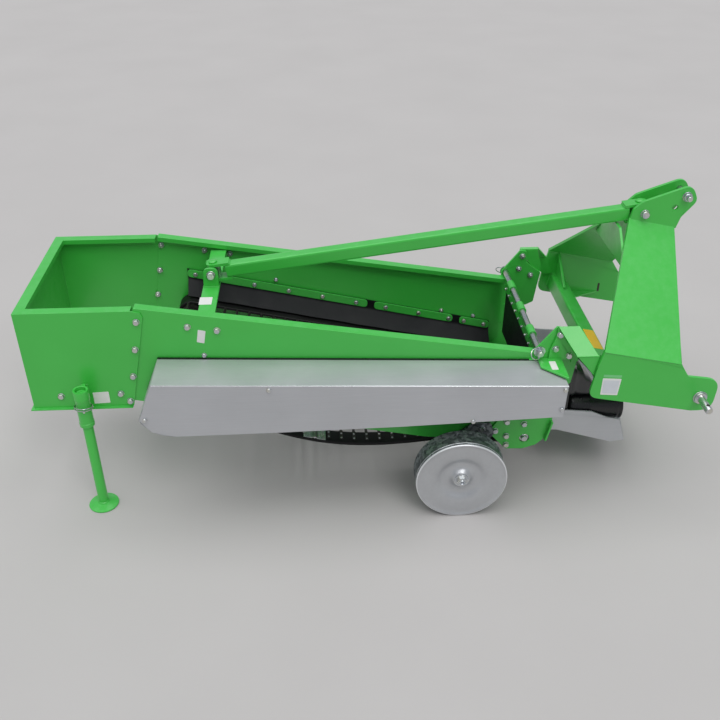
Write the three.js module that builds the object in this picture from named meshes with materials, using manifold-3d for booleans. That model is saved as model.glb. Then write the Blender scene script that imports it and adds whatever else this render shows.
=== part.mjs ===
// Single-row potato harvester, carried on a tractor's three-point linkage and driven by its power
// take-off. +X runs forward to the tractor, +Y to the machine's left, +Z up, in millimetres. The ground
// is z = 0, and x = 0 is halfway along the machine. Most sheet parts come as a right and a left one.
import * as THREE from 'three';
import { mergeVertices } from 'three/addons/utils/BufferGeometryUtils.js';
import Module from 'manifold-3d';

const wasm = await Module();
wasm.setup();

// ---------- driving sizes ----------
const fitGap = 0.3; // left between pieces that touch
const runGap = 0.5; // radial clearance of what turns or slides
const swingGap = 5; // beside what swings

const frameWidth = 496; // over the two side panels
const panelSheet = 4;
const rimWidth = 30; // inward flange along every top edge
const rimLip = 15;
const panelRearX = -664;
const panelFrontX = 480;
const panelRearZ = 658;
const panelFrontZ = 474;

const chuteRearX = -994.5;
const chuteSeamX = -673;
const chuteTopZ = 652;
const chuteBottomZ = 331;
const chuteLip = 8;

const rearRollerX = -575;
const rearRollerZ = 402;
const frontRollerX = 473;
const frontRollerZ = 165;
const rollerR = 34;
const webThickness = 10;
const webWidth = 456;
const beltWidth = 58;
const rodR = 4.2;
const rodCount = 60;
const shaftR = 15;

const wheelX = 255;
const wheelR = 136.5;
const wheelWidth = 73;
const wheelInnerY = 341;
const wheelSheet = 4;
const wheelFacets = 32;
const axleR = 15;
const supportR = 18;

const hitchPlate = 10;
const hitchLowerY = 335; // outside face of the hitch plates where the lower links fasten
const hitchUpperY = 35; // outside face at the top link
const linkPinX = 957;
const linkPinZ = 360;
const linkPinR = 11;
const linkPinReach = 396;
const topPinX = 927;
const topPinZ = 864;
const topPinR = 9.5;

const beamSide = 50;
const beamWall = 5;
const beamX = 685;
const beamZ = 407;
const beamTilt = 12;

const strutSide = 40;
const strutWall = 4;
const strutRearX = -427;
const strutRearZ = 649;
const strutFrontX = 771;
const strutFrontZ = 806;

const bridgeX = -474;
const bridgeWidth = 50;
const bridgeSheet = 6;
const bridgeTopZ = 606;

const rodX = 484;
const rodZ = 486;
const crossRodR = 9;
const curtainDrop = 190;
const curtainSheet = 5;

const guardSheet = 2.5;
const guardOuterY = 390;
const guardInnerY = 257;
const rearSprocketR = 38;
const frontSprocketR = 22;
const outputX = 508;
const outputZ = 395;
const outputR = 11;
const chainThickness = 8;

const standX = -836;
const standY = 300;
const standLegR = 15;
const standSleeveR = 22;
const standSleeveTopZ = 429;
const standSleeveBottomZ = 306;
const standFootR = 45;

const gearboxY = -188;
const inputZ = 244;
const inputR = 17.5;
const cuffR = 48;
const cuffLength = 170;
const cuffWall = 5;

const bladeSheet = 8;
const bladeSlope = 15;
const wingSheet = 6;

const panelOuterY = frameWidth / 2;
const panelInnerY = panelOuterY - panelSheet;
const outsideY = panelOuterY + fitGap; // where the sheets that lap the panels start

// ---------- materials ----------
function paint(color, roughness, metalness) {
    return new THREE.MeshStandardMaterial({ color, roughness, metalness });
}

const greenPaint = paint(0x3fae46, 0.4, 0.0);
const zincSheet = paint(0xa4a9ac, 0.45, 0.8);
const brightSteel = paint(0xc4c8ca, 0.3, 0.9);
const darkSteel = paint(0x55585a, 0.5, 0.8);
const blackRubber = paint(0x1b1b1c, 0.8, 0.0);
const blackPlastic = paint(0x17171a, 0.5, 0.0);
const castBlack = paint(0x1b1d1f, 0.5, 0.0);

// ---------- helpers ----------
const xAxis = new THREE.Vector3(1, 0, 0);
const yAxis = new THREE.Vector3(0, 1, 0);
const zAxis = new THREE.Vector3(0, 0, 1);
const harvester = new THREE.Group();

// Outline through corner points [a, b] or [a, b, r], where r rounds the corner, run anticlockwise.
function outline(points) {
    const clockwise = THREE.ShapeUtils.isClockWise(points.map(([a, b]) => new THREE.Vector2(a, b)));
    const corners = clockwise ? [...points].reverse() : points;
    const shape = new THREE.Shape();
    const count = corners.length;
    corners.forEach((corner, i) => {
        const here = new THREE.Vector2(corner[0], corner[1]);
        const radius = corner[2] ?? 0;
        const before = new THREE.Vector2(...corners[(i + count - 1) % count].slice(0, 2)).sub(here).normalize();
        const after = new THREE.Vector2(...corners[(i + 1) % count].slice(0, 2)).sub(here).normalize();
        const half = Math.acos(THREE.MathUtils.clamp(before.dot(after), -1, 1)) / 2;
        const setback = radius > 0 ? radius / Math.tan(half) : 0;
        const start = here.clone().addScaledVector(before, setback);
        const end = here.clone().addScaledVector(after, setback);
        if (i === 0) shape.moveTo(start.x, start.y);
        else shape.lineTo(start.x, start.y);
        if (radius > 0) shape.quadraticCurveTo(here.x, here.y, end.x, end.y);
    });
    shape.closePath();
    return shape;
}

// Round holes [a, b, r], each a polygon drawn around its circle so that a pin of radius r clears it.
function withHoles(shape, holes, sides = 16) {
    for (const [a, b, r] of holes) {
        const reach = r / Math.cos(Math.PI / sides);
        const hole = new THREE.Path();
        for (let i = 0; i < sides; i += 1) {
            const angle = (-2 * Math.PI * (i + 0.5)) / sides;
            const x = a + reach * Math.cos(angle);
            const y = b + reach * Math.sin(angle);
            if (i === 0) hole.moveTo(x, y);
            else hole.lineTo(x, y);
        }
        hole.closePath();
        shape.holes.push(hole);
    }
    return shape;
}

// Flat piece: an outline in the plane of `across` and `up` at `origin`, thick along across x up.
function slab(shape, depth, origin, across, up, curveSegments = 6) {
    const geometry = new THREE.ExtrudeGeometry(shape, { depth, bevelEnabled: false, curveSegments });
    const normal = across.clone().cross(up);
    const frame = new THREE.Matrix4().makeBasis(across, up, normal);
    geometry.applyMatrix4(frame);
    return geometry.translate(origin.x, origin.y, origin.z);
}

// Plate standing along the machine, its outline in x and z, between two y values.
function sidePlate(shape, lowY, highY, curveSegments) {
    return slab(shape, highY - lowY, new THREE.Vector3(0, highY, 0), xAxis, zAxis, curveSegments);
}

// Plate across the machine, its outline in y and z, between two x values.
function crossPlate(shape, lowX, highX) {
    return slab(shape, highX - lowX, new THREE.Vector3(lowX, 0, 0), yAxis, zAxis);
}

// Plate lying flat, its outline in x and y, between two z values.
function flatPlate(shape, lowZ, highZ) {
    return slab(shape, highZ - lowZ, new THREE.Vector3(0, 0, lowZ), xAxis, yAxis);
}

function box(lowX, highX, lowY, highY, lowZ, highZ) {
    const geometry = new THREE.BoxGeometry(highX - lowX, highY - lowY, highZ - lowZ);
    return geometry.translate((lowX + highX) / 2, (lowY + highY) / 2, (lowZ + highZ) / 2);
}

// Round bar along the given axis, from `origin` for `length`.
function bar(origin, axis, radius, length, sides = 20) {
    const geometry = new THREE.CylinderGeometry(radius, radius, length, sides);
    geometry.translate(0, length / 2, 0);
    geometry.applyQuaternion(new THREE.Quaternion().setFromUnitVectors(yAxis, axis));
    return geometry.translate(origin.x, origin.y, origin.z);
}

function barAlongY(x, z, radius, lowY, highY, sides) {
    return bar(new THREE.Vector3(x, lowY, z), yAxis, radius, highY - lowY, sides);
}

// Turned piece: profile points [radius, height] about a vertical line through x and y.
function turned(profile, sides) {
    return new THREE.LatheGeometry(profile.map(([r, h]) => new THREE.Vector2(r, h)), sides);
}

function toSolid(geometry) {
    const bare = geometry.clone();
    bare.deleteAttribute('normal');
    bare.deleteAttribute('uv');
    const merged = mergeVertices(bare, 1e-4);
    return new wasm.Manifold(new wasm.Mesh({
        numProp: 3,
        vertProperties: new Float32Array(merged.attributes.position.array),
        triVerts: new Uint32Array(merged.index.array),
    }));
}

function toGeometry(solid) {
    const result = solid.getMesh();
    const geometry = new THREE.BufferGeometry();
    geometry.setAttribute('position', new THREE.BufferAttribute(new Float32Array(result.vertProperties), 3));
    geometry.setIndex(new THREE.BufferAttribute(new Uint32Array(result.triVerts), 1));
    return geometry;
}

function joined(...geometries) {
    return toGeometry(geometries.map(toSolid).reduce((whole, next) => whole.add(next)));
}

function cut(geometry, ...tools) {
    return toGeometry(tools.map(toSolid).reduce((left, tool) => left.subtract(tool), toSolid(geometry)));
}

function mirroredY(geometry) {
    const bare = geometry.clone();
    bare.deleteAttribute('normal');
    bare.deleteAttribute('uv');
    const flipped = mergeVertices(bare, 1e-4);
    flipped.applyMatrix4(new THREE.Matrix4().makeScale(1, -1, 1));
    const index = flipped.index.array;
    for (let i = 0; i < index.length; i += 3) [index[i], index[i + 1]] = [index[i + 1], index[i]];
    return flipped;
}

function addMesh(name, geometry, material) {
    const mesh = new THREE.Mesh(geometry, material);
    mesh.name = name;
    harvester.add(mesh);
    return mesh;
}

// The right-hand piece is at negative y, and the left-hand one is its mirror image.
function addPair(name, geometry, material) {
    addMesh(`${name}_right`, geometry, material);
    addMesh(`${name}_left`, mirroredY(geometry), material);
}

// ---------- side panels, with the strips that clamp the side flaps ----------
const webSlope = Math.atan2(rearRollerZ - frontRollerZ, frontRollerX - rearRollerX);
const downWeb = new THREE.Vector3(Math.cos(webSlope), 0, -Math.sin(webSlope));
const offWeb = new THREE.Vector3(Math.sin(webSlope), 0, Math.cos(webSlope));
const webOuterR = rollerR + fitGap + webThickness;
const flapSheet = 5;
const flapLineRise = 70; // of the flap's bolt line over the web's top surface
const flapRearX = -585;
const flapFrontX = 440;
const stripWidth = 28;
const stripSheet = 5;
const stripSpans = [[-585, 13], [36, 310], [334, 440]];
const flapBoltR = 4;

// Height of the web's top surface at a given x.
function webTopZ(x) {
    const topX = rearRollerX + webOuterR * Math.sin(webSlope);
    const topZ = rearRollerZ + webOuterR * Math.cos(webSlope);
    return topZ - (x - topX) * Math.tan(webSlope);
}

function flapBoltXs() {
    return stripSpans.flatMap(([start, end]) => [start + 25, (start + end) / 2, end - 25]);
}

function panelRim() {
    const top = [
        [-panelOuterY, 0],
        [-panelOuterY, -3 * panelSheet],
        [-panelInnerY, -3 * panelSheet],
        [-panelInnerY, -panelSheet],
        [-panelOuterY + rimWidth - panelSheet, -panelSheet],
        [-panelOuterY + rimWidth - panelSheet, -rimLip],
        [-panelOuterY + rimWidth, -rimLip],
        [-panelOuterY + rimWidth, 0],
    ];
    const start = new THREE.Vector3(panelRearX, 0, panelRearZ);
    const end = new THREE.Vector3(panelFrontX, 0, panelFrontZ);
    const along = end.clone().sub(start);
    const up = new THREE.Vector3().crossVectors(along, yAxis).normalize();
    return slab(outline(top), along.length(), start, yAxis, up);
}

function flapStrips() {
    const outerY = -panelInnerY + fitGap + flapSheet + fitGap;
    const pieces = stripSpans.map(([start, end]) => {
        const rise = (x) => webTopZ(x) + flapLineRise;
        const half = stripWidth / 2;
        const strip = outline([
            [start, rise(start) - half, 12],
            [end, rise(end) - half, 12],
            [end, rise(end) + half, 12],
            [start, rise(start) + half, 12],
        ]);
        return sidePlate(strip, outerY, outerY + stripSheet, 3);
    });
    const bolts = flapBoltXs().map((x) =>
        barAlongY(x, webTopZ(x) + flapLineRise, flapBoltR, -panelInnerY - panelSheet / 2, outerY + stripSheet / 2, 8));
    return [...pieces, ...bolts];
}

function guardPosts() {
    const postR = 6;
    const places = [[-647, 384], [-297, 454], [278, 340]];
    return places.map(([x, z]) =>
        barAlongY(x, z, postR, -guardOuterY + guardSheet + fitGap, -panelOuterY + panelSheet / 2, 8));
}

function sidePanel() {
    const shape = outline([
        [-708, 352],
        [-550, 322],
        [163, 179.5, 30],
        [209, 175],
        [400, 175, 20],
        [panelFrontX, 240, 20],
        [panelFrontX, panelFrontZ - 1],
        [panelRearX, panelRearZ - 1],
    ]);
    withHoles(shape, [[rearRollerX, rearRollerZ, shaftR + fitGap]]);
    return joined(sidePlate(shape, -panelOuterY, -panelInnerY), panelRim(), ...flapStrips());
}

const rightPanel = joined(sidePanel(), ...guardPosts());
addMesh('side_panel_right', rightPanel, greenPaint);
addMesh('side_panel_left', mirroredY(sidePanel()), greenPaint);

// ---------- side flaps of rubber that seal the web's edges ----------
function sideFlap() {
    const topY = -panelInnerY + fitGap;
    const lapZ = stripWidth / 2 + 2;
    const flapTilt = THREE.MathUtils.degToRad(42);
    const flapReach = 68;
    const profile = outline([
        [topY, lapZ],
        [topY, -lapZ],
        [topY + flapReach * Math.cos(flapTilt), -lapZ - flapReach * Math.sin(flapTilt)],
        [topY + flapReach * Math.cos(flapTilt) + 3.5, -lapZ - flapReach * Math.sin(flapTilt) + 4],
        [topY + flapSheet, -lapZ + 2],
        [topY + flapSheet, lapZ],
    ]);
    const start = new THREE.Vector3(flapRearX, 0, webTopZ(flapRearX) + flapLineRise);
    const length = (flapFrontX - flapRearX) / Math.cos(webSlope);
    const flap = slab(profile, length, start, yAxis, offWeb);
    const holes = flapBoltXs().map((x) =>
        barAlongY(x, webTopZ(x) + flapLineRise, flapBoltR + fitGap, topY - 1, topY + flapSheet + 1, 8));
    return cut(flap, ...holes);
}

addPair('side_flap', sideFlap(), blackRubber);

// ---------- rear chute ----------
function wrap(outerY, rearX, frontX, sheet) {
    return outline([
        [frontX, -outerY],
        [frontX, -outerY + sheet],
        [rearX + sheet, -outerY + sheet],
        [rearX + sheet, outerY - sheet],
        [frontX, outerY - sheet],
        [frontX, outerY],
        [rearX, outerY],
        [rearX, -outerY],
    ]);
}

function rearChute() {
    const outerY = outsideY + panelSheet;
    const side = outline([
        [chuteRearX, chuteTopZ - 1],
        [chuteRearX, chuteBottomZ],
        [chuteSeamX - 32, chuteBottomZ + 4],
        [chuteSeamX + 32, chuteTopZ - 22, 6],
        [chuteSeamX + 26, chuteTopZ - 6],
        [chuteSeamX, chuteTopZ - 1],
    ]);
    return joined(
        sidePlate(side, -outerY, -outsideY),
        sidePlate(side, outsideY, outerY),
        box(chuteRearX, chuteRearX + panelSheet, -outerY, outerY, chuteBottomZ, chuteTopZ),
        flatPlate(wrap(outerY, chuteRearX, chuteSeamX, rimWidth), chuteTopZ - panelSheet, chuteTopZ),
        cut(
            flatPlate(wrap(outerY, chuteRearX, chuteSeamX, rimWidth), chuteTopZ - rimLip, chuteTopZ - 1),
            flatPlate(wrap(outerY + 1, chuteRearX - 1, chuteSeamX + 1, rimWidth + 1 - panelSheet),
                chuteTopZ - rimLip - 1, chuteTopZ),
        ),
        flatPlate(wrap(outerY + chuteLip, chuteRearX - chuteLip, chuteSeamX - 34, chuteLip + panelSheet),
            chuteBottomZ, chuteBottomZ + panelSheet),
    );
}

addMesh('rear_chute', rearChute(), greenPaint);

// ---------- web conveyor: two belts joined by rods, one fixed loop ----------
const webMidR = rollerR + fitGap + webThickness / 2;
const supportMidR = supportR + fitGap + webThickness / 2;

function webPath() {
    const span = Math.hypot(frontRollerX - wheelX, frontRollerZ - wheelR);
    const line = Math.atan2(frontRollerZ - wheelR, frontRollerX - wheelX);
    const cross = Math.asin((webMidR + supportMidR) / span);
    const upAngle = Math.PI / 2 - webSlope;
    const frontLeave = line - cross - Math.PI / 2; // where the web leaves the front roller below
    const supportMeet = frontLeave + Math.PI; // and runs onto the axle's rollers above
    const supportLeave = THREE.MathUtils.degToRad(98);
    const rearMeet = THREE.MathUtils.degToRad(237);
    const path = new THREE.Path();
    path.absarc(frontRollerX, frontRollerZ, webMidR, upAngle, frontLeave, true);
    path.absarc(wheelX, wheelR, supportMidR, supportMeet, supportLeave, false);
    const sagEnd = new THREE.Vector2(Math.cos(supportLeave), Math.sin(supportLeave)).multiplyScalar(supportMidR);
    sagEnd.add(new THREE.Vector2(wheelX, wheelR));
    const meet = new THREE.Vector2(Math.cos(rearMeet), Math.sin(rearMeet)).multiplyScalar(webMidR);
    meet.add(new THREE.Vector2(rearRollerX, rearRollerZ));
    const easeFront = 350;
    const easeRear = 420;
    path.bezierCurveTo(
        sagEnd.x - easeFront * Math.sin(supportLeave), sagEnd.y + easeFront * Math.cos(supportLeave),
        meet.x - easeRear * Math.sin(rearMeet), meet.y + easeRear * Math.cos(rearMeet),
        meet.x, meet.y,
    );
    path.absarc(rearRollerX, rearRollerZ, webMidR, rearMeet - 2 * Math.PI, upAngle - 2 * Math.PI, true);
    path.closePath();
    return path;
}

// Band of even thickness along a closed clockwise path of points, as an outline with a hole.
function bandOutline(points, thickness) {
    const offset = (side) => points.map((point, i) => {
        const before = points[(i + points.length - 1) % points.length];
        const after = points[(i + 1) % points.length];
        const along = after.clone().sub(before).normalize();
        return new THREE.Vector2(point.x - along.y * side, point.y + along.x * side);
    });
    const shape = new THREE.Shape(offset(thickness / 2).reverse());
    shape.holes.push(new THREE.Path(offset(-thickness / 2)));
    return shape;
}

// Corner points of a closed path: arcs stepped about every ten degrees, straights by their ends.
function loopPoints(path) {
    const points = path.curves.flatMap((curve) => {
        if (curve.isLineCurve) return [curve.v2];
        const turn = curve.isEllipseCurve ? curve.getLength() / curve.xRadius : 1;
        const steps = curve.isEllipseCurve ? Math.ceil(turn / THREE.MathUtils.degToRad(10)) : 14;
        return curve.getPoints(steps).slice(1);
    });
    return points.filter((point, i) => point.distanceTo(points[(i + 1) % points.length]) > 0.01);
}

function webConveyor() {
    const path = webPath();
    const band = bandOutline(loopPoints(path), webThickness);
    const outerY = webWidth / 2;
    const belts = [-outerY, outerY - beltWidth].map((lowY) => sidePlate(band, lowY, lowY + beltWidth, 1));
    const rods = path.getSpacedPoints(rodCount).slice(1).map((point) =>
        barAlongY(point.x, point.y, rodR, -outerY + beltWidth - 2, outerY - beltWidth + 2, 6));
    return joined(...belts, ...rods);
}

addMesh('web_conveyor', webConveyor(), darkSteel);

// ---------- rollers that carry the web, and the axle ----------
// Turned about y: steps [radius, y] from the right-hand end, both ends closed on the axis.
function rollerAlongY(x, z, steps, sides = 16) {
    const profile = [[0, steps[0][1]], ...steps, [0, steps[steps.length - 1][1]]];
    const geometry = turned(profile, sides);
    return geometry.translate(x, 0, z);
}

function beltRoller(x, z, radius, rightY, leftY) {
    const outerY = webWidth / 2;
    const innerY = outerY - beltWidth;
    return rollerAlongY(x, z, [
        [shaftR, rightY],
        [shaftR, -outerY],
        [radius, -outerY],
        [radius, -innerY],
        [shaftR + 3, -innerY],
        [shaftR + 3, innerY],
        [radius, innerY],
        [radius, outerY],
        [shaftR, outerY],
        [shaftR, leftY],
    ]);
}

const chainY = -310;
const sprocketHalf = 6;

function driveRoller() {
    const roller = beltRoller(rearRollerX, rearRollerZ, rollerR, -panelOuterY - 70, panelOuterY + 12);
    const sprocket = barAlongY(rearRollerX, rearRollerZ, rearSprocketR, chainY - sprocketHalf, chainY + sprocketHalf, 24);
    return joined(roller, sprocket);
}

addMesh('web_drive_roller', driveRoller(), darkSteel);
addMesh('web_front_roller', beltRoller(frontRollerX, frontRollerZ, rollerR, -panelOuterY, panelOuterY), darkSteel);

// The upper run's supports turn on shafts between the panels.
const supportXs = [-230, 120];
supportXs.forEach((x, i) => {
    const z = webTopZ(x) - (webThickness + fitGap + supportR) / Math.cos(webSlope);
    const name = i === 0 ? 'web_support_roller_rear' : 'web_support_roller_front';
    const shaftEnd = panelInnerY - fitGap;
    const geometry = rollerAlongY(x, z, [
        [8, -shaftEnd],
        [8, -webWidth / 2],
        [supportR, -webWidth / 2],
        [supportR, -webWidth / 2 + beltWidth],
        [8, -webWidth / 2 + beltWidth],
        [8, webWidth / 2 - beltWidth],
        [supportR, webWidth / 2 - beltWidth],
        [supportR, webWidth / 2],
        [8, webWidth / 2],
        [8, shaftEnd],
    ], 16);
    addMesh(name, geometry, darkSteel);
});

const armSheet = 8;
const lowPlateSheet = 6;
const armInnerY = outsideY + lowPlateSheet + fitGap;
const hubCapY = wheelInnerY + wheelWidth;

function axle() {
    const outerY = webWidth / 2;
    const innerY = outerY - beltWidth;
    return rollerAlongY(wheelX, wheelR, [
        [axleR, -hubCapY + 6],
        [axleR, -outerY],
        [supportR, -outerY],
        [supportR, -innerY],
        [axleR, -innerY],
        [axleR, innerY],
        [supportR, innerY],
        [supportR, outerY],
        [axleR, outerY],
        [axleR, hubCapY - 6],
    ], 20);
}

addMesh('wheel_axle', axle(), darkSteel);

// ---------- wheel arms and wheels ----------
function wheelArm() {
    const shape = outline([
        [wheelX - 34, wheelR - 30, 20],
        [wheelX + 34, wheelR - 30, 20],
        [wheelX + 120, 188, 18],
        [wheelX + 108, 236, 18],
        [wheelX + 52, 236, 18],
        [wheelX - 36, wheelR + 26, 20],
    ]);
    withHoles(shape, [[wheelX, wheelR, axleR + fitGap]]);
    return sidePlate(shape, -armInnerY - armSheet, -armInnerY, 4);
}

addPair('wheel_arm', wheelArm(), zincSheet);

function wheel() {
    const rimOut = -hubCapY;
    const rimIn = -wheelInnerY;
    const bore = axleR + runGap;
    const profile = [
        [bore, rimIn + 4],
        [bore, rimOut + 8],
        [bore + 9, rimOut + 8],
        [bore + 11, rimOut + 14],
        [66, rimOut + 18],
        [104, rimOut + 12],
        [wheelR - 14, rimOut + 1],
        [wheelR - 4, rimOut],
        [wheelR, rimOut + 3],
        [wheelR, rimIn - 3],
        [wheelR - 4, rimIn],
        [wheelR - 10, rimIn - 1],
        [wheelR - wheelSheet, rimIn - 5],
        [wheelR - wheelSheet, rimOut + 12],
        [wheelR - 16, rimOut + 6],
        [104, rimOut + 16],
        [66, rimOut + 22],
        [bore + 12, rimOut + 20],
        [bore + 10, rimIn + 4],
        [bore, rimIn + 4],
    ];
    // The facets' flats lie on the wheel's circle, with one of them flat on the ground.
    const reach = 1 / Math.cos(Math.PI / wheelFacets);
    const drum = turned(profile, wheelFacets).rotateY(Math.PI / wheelFacets);
    return drum.scale(reach, 1, reach).translate(wheelX, 0, wheelR);
}

addPair('wheel', wheel(), zincSheet);

// ---------- low side plates at the front roller ----------
const flangeTurn = 18;

function lowSidePlate() {
    const shape = outline([
        [382, 300],
        [382, 233],
        [358, 192, 12],
        [417, 126, 12],
        [471, 124, 30],
        [511, 138, 12],
        [539, 165],
        [553, 234],
        [553, 300],
    ]);
    withHoles(shape, [[frontRollerX, frontRollerZ, shaftR + fitGap]]);
    const plate = sidePlate(shape, -outsideY - lowPlateSheet, -outsideY);
    const flange = sidePlate(
        outline([[533, 165], [539, 165], [553, 234], [547, 234]]),
        -outsideY - lowPlateSheet - flangeTurn,
        -outsideY - lowPlateSheet / 2,
    );
    return joined(plate, flange);
}

addPair('low_side_plate', lowSidePlate(), greenPaint);

// ---------- front brackets, lapping the panels ----------
const bracketSheet = 8;
const bracketOuterY = outsideY + bracketSheet;
const shelfZ = 459;

function frontBracket(holes) {
    const shape = outline([
        [528, 566, 4],
        [549, 562],
        [552, 521, 10],
        [605, 481, 6],
        [599, 441],
        [591, 370, 6],
        [566, 357],
        [440, 357],
        [440, 452],
        [470, shelfZ],
        [470, 490, 4],
    ]);
    return sidePlate(withHoles(shape, holes), -bracketOuterY, -outsideY, 3);
}

const rodHole = [rodX, rodZ, crossRodR + fitGap];
const outputHole = [outputX, outputZ, outputR + fitGap];
addMesh('front_bracket_right', frontBracket([rodHole, outputHole]), greenPaint);
addMesh('front_bracket_left', mirroredY(frontBracket([rodHole])), greenPaint);

// ---------- hitch plates: lower plate, leaning plate, top-link ear and the arm to the bracket ----------
const hitchInnerY = hitchLowerY - hitchPlate;

// Height of the crossbeam's top face at a given x.
function beamTopZ(x) {
    const tilt = THREE.MathUtils.degToRad(beamTilt);
    return beamZ + beamSide / 2 / Math.cos(tilt) - (x - beamX) * Math.tan(tilt);
}

const foldRear = new THREE.Vector3(649, -hitchLowerY, 530);
const foldFront = new THREE.Vector3(877, -hitchLowerY, 482);
const earRear = new THREE.Vector3(768, -hitchUpperY, 798);

function leaningPlate() {
    const along = foldFront.clone().sub(foldRear).normalize();
    const climb = earRear.clone().sub(foldRear);
    const skew = climb.dot(along);
    climb.addScaledVector(along, -skew);
    const height = climb.length();
    const up = climb.clone().normalize();
    const width = foldFront.distanceTo(foldRear);
    const shape = outline([
        [-1, -4],
        [width + 1, -4],
        [skew + 143, height + 4],
        [skew, height + 4],
    ]);
    // The outline is drawn on the outer face, and the plate is thick towards the machine's middle.
    return slab(shape, hitchPlate, foldRear.clone().addScaledVector(
        along.clone().cross(up), -hitchPlate), along, up);
}

function lowerHitchPlate() {
    const shape = outline([
        [foldRear.x, foldRear.z, 3],
        [636, 474, 20],
        [622, 372, 30],
        [938, 312, 14],
        [1000, 312, 40],
        [1005, 419, 42],
        [908, 434, 12],
        [888, 464, 10],
        [foldFront.x, foldFront.z],
    ]);
    withHoles(shape, [[linkPinX, linkPinZ, linkPinR + fitGap]]);
    return sidePlate(shape, -hitchLowerY, -hitchInnerY, 7);
}

function topLinkEar() {
    const shape = outline([
        [earRear.x, 790],
        [775, 826, 14],
        [800, 850, 30],
        [938, 899, 30],
        [962, 850, 26],
        [922, 800, 24],
        [912, 764],
    ]);
    withHoles(shape, [[topPinX, topPinZ, topPinR + fitGap], [898, 830, 9], [811, 812, 8 + fitGap]]);
    return sidePlate(shape, -hitchUpperY, -hitchUpperY + hitchPlate, 7);
}

// The arm runs from a tab bolted on the bracket, out and down to the lower hitch plate.
function hitchArm() {
    const tabY = -bracketOuterY - fitGap;
    const lapY = -hitchInnerY + fitGap + bracketSheet; // inner face of the lap on the hitch plate
    const fall = THREE.MathUtils.degToRad(46.3);
    const up = new THREE.Vector3(0, Math.cos(fall), Math.sin(fall));
    const reach = (tabY - lapY) / Math.cos(fall);
    const shape = outline([
        [528, 0],
        [576, -reach - 4],
        [639, -reach - 4],
        [590, 0],
    ]);
    const leaning = slab(shape, bracketSheet, new THREE.Vector3(0, tabY, 566), xAxis, up);
    const lapTopZ = 566 - reach * Math.sin(fall) + 4;
    const lap = sidePlate(outline([
        [574, lapTopZ],
        [640, lapTopZ],
        [668, 440, 10],
        [632, 440, 10],
    ]), lapY - bracketSheet, lapY, 3);
    const tab = sidePlate(outline([
        [528, 566],
        [528, 540, 8],
        [512, 490, 12],
        [512, shelfZ],
        [582, shelfZ, 6],
        [582, 490, 12],
        [552, 530, 8],
        [590, 566],
    ]), tabY - bracketSheet, tabY, 3);
    return joined(tab, leaning, lap);
}

// Upright triangle between the hitch plate's inner face and the top of the crossbeam.
function beamGusset() {
    const gussetSheet = 8;
    const gussetReach = 110;
    const gussetRise = 82;
    const footZ = beamTopZ(beamX - gussetSheet / 2) + fitGap;
    return crossPlate(outline([
        [-hitchInnerY - 1, footZ],
        [-hitchInnerY + gussetReach, footZ],
        [-hitchInnerY + gussetReach, footZ + 6],
        [-hitchInnerY, footZ + gussetRise],
        [-hitchInnerY - 1, footZ + gussetRise],
    ]), beamX - gussetSheet / 2, beamX + gussetSheet / 2);
}

function hitchFrame() {
    return joined(lowerHitchPlate(), leaningPlate(), topLinkEar(), beamGusset());
}

addPair('hitch_plate', hitchFrame(), greenPaint);

// Upright plate across the machine that holds the two leaning plates apart under the strut.
function mastGusset() {
    const sheet = 8;
    const lowX = 736;
    const lowZ = 681;
    const highZ = 776;
    const lean = new THREE.Plane().setFromCoplanarPoints(foldRear, foldFront, earRear);
    // Distance from the machine's middle to a leaning plate's inner face.
    const innerFace = (z) => {
        const { normal, constant } = lean;
        const outer = (-constant - normal.x * (lowX + sheet) - normal.z * z) / normal.y;
        return Math.abs(outer) - hitchPlate / Math.abs(normal.y) - fitGap;
    };
    return crossPlate(outline([
        [-innerFace(lowZ), lowZ],
        [innerFace(lowZ), lowZ],
        [innerFace(highZ), highZ],
        [-innerFace(highZ), highZ],
    ]), lowX, lowX + sheet);
}

addMesh('mast_gusset', mastGusset(), greenPaint);

// Flat flange at the foot of the right-hand arm's tab, over the drive guard's front corner.
function guardShelf() {
    const tabY = -bracketOuterY - fitGap;
    return flatPlate(outline([
        [482, tabY],
        [480, -303, 6],
        [548, -368, 4],
        [551, tabY],
    ]), shelfZ - 2, shelfZ + 4);
}

addMesh('hitch_arm_right', joined(hitchArm(), guardShelf()), greenPaint);
addMesh('hitch_arm_left', mirroredY(hitchArm()), greenPaint);

// ---------- crossbeam between the hitch plates ----------
function squareTube(length, side, wall) {
    const half = side / 2;
    const r = wall + 1.5; // outside corner radius of a rolled tube
    const outer = outline([[-half, -half, r], [half, -half, r], [half, half, r], [-half, half, r]]);
    const inner = half - wall;
    const corners = [[-inner, -inner], [-inner, inner], [inner, inner], [inner, -inner]];
    outer.holes.push(new THREE.Path(corners.map(([a, b]) => new THREE.Vector2(a, b))));
    return new THREE.ExtrudeGeometry(outer, { depth: length, bevelEnabled: false, curveSegments: 2 });
}

const crossbeam = squareTube(2 * (hitchInnerY - fitGap), beamSide, beamWall);
crossbeam.translate(0, 0, -hitchInnerY + fitGap);
crossbeam.rotateX(-Math.PI / 2);
crossbeam.rotateY(THREE.MathUtils.degToRad(beamTilt));
crossbeam.translate(beamX, 0, beamZ);
addMesh('hitch_crossbeam', crossbeam, greenPaint);

// ---------- pins of the three-point hitch ----------
function lowerLinkPin() {
    const collar = hitchLowerY + fitGap;
    return turned([
        [0, -linkPinReach],
        [linkPinR - 2, -linkPinReach],
        [linkPinR, -linkPinReach + 2],
        [linkPinR, -collar - 8],
        [linkPinR + 8, -collar - 8],
        [linkPinR + 8, -collar],
        [linkPinR, -collar],
        [linkPinR, -hitchInnerY + fitGap],
        [linkPinR + 7, -hitchInnerY + fitGap],
        [linkPinR + 7, -hitchInnerY + 16],
        [0, -hitchInnerY + 16],
    ], 14).translate(linkPinX, 0, linkPinZ);
}

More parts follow.
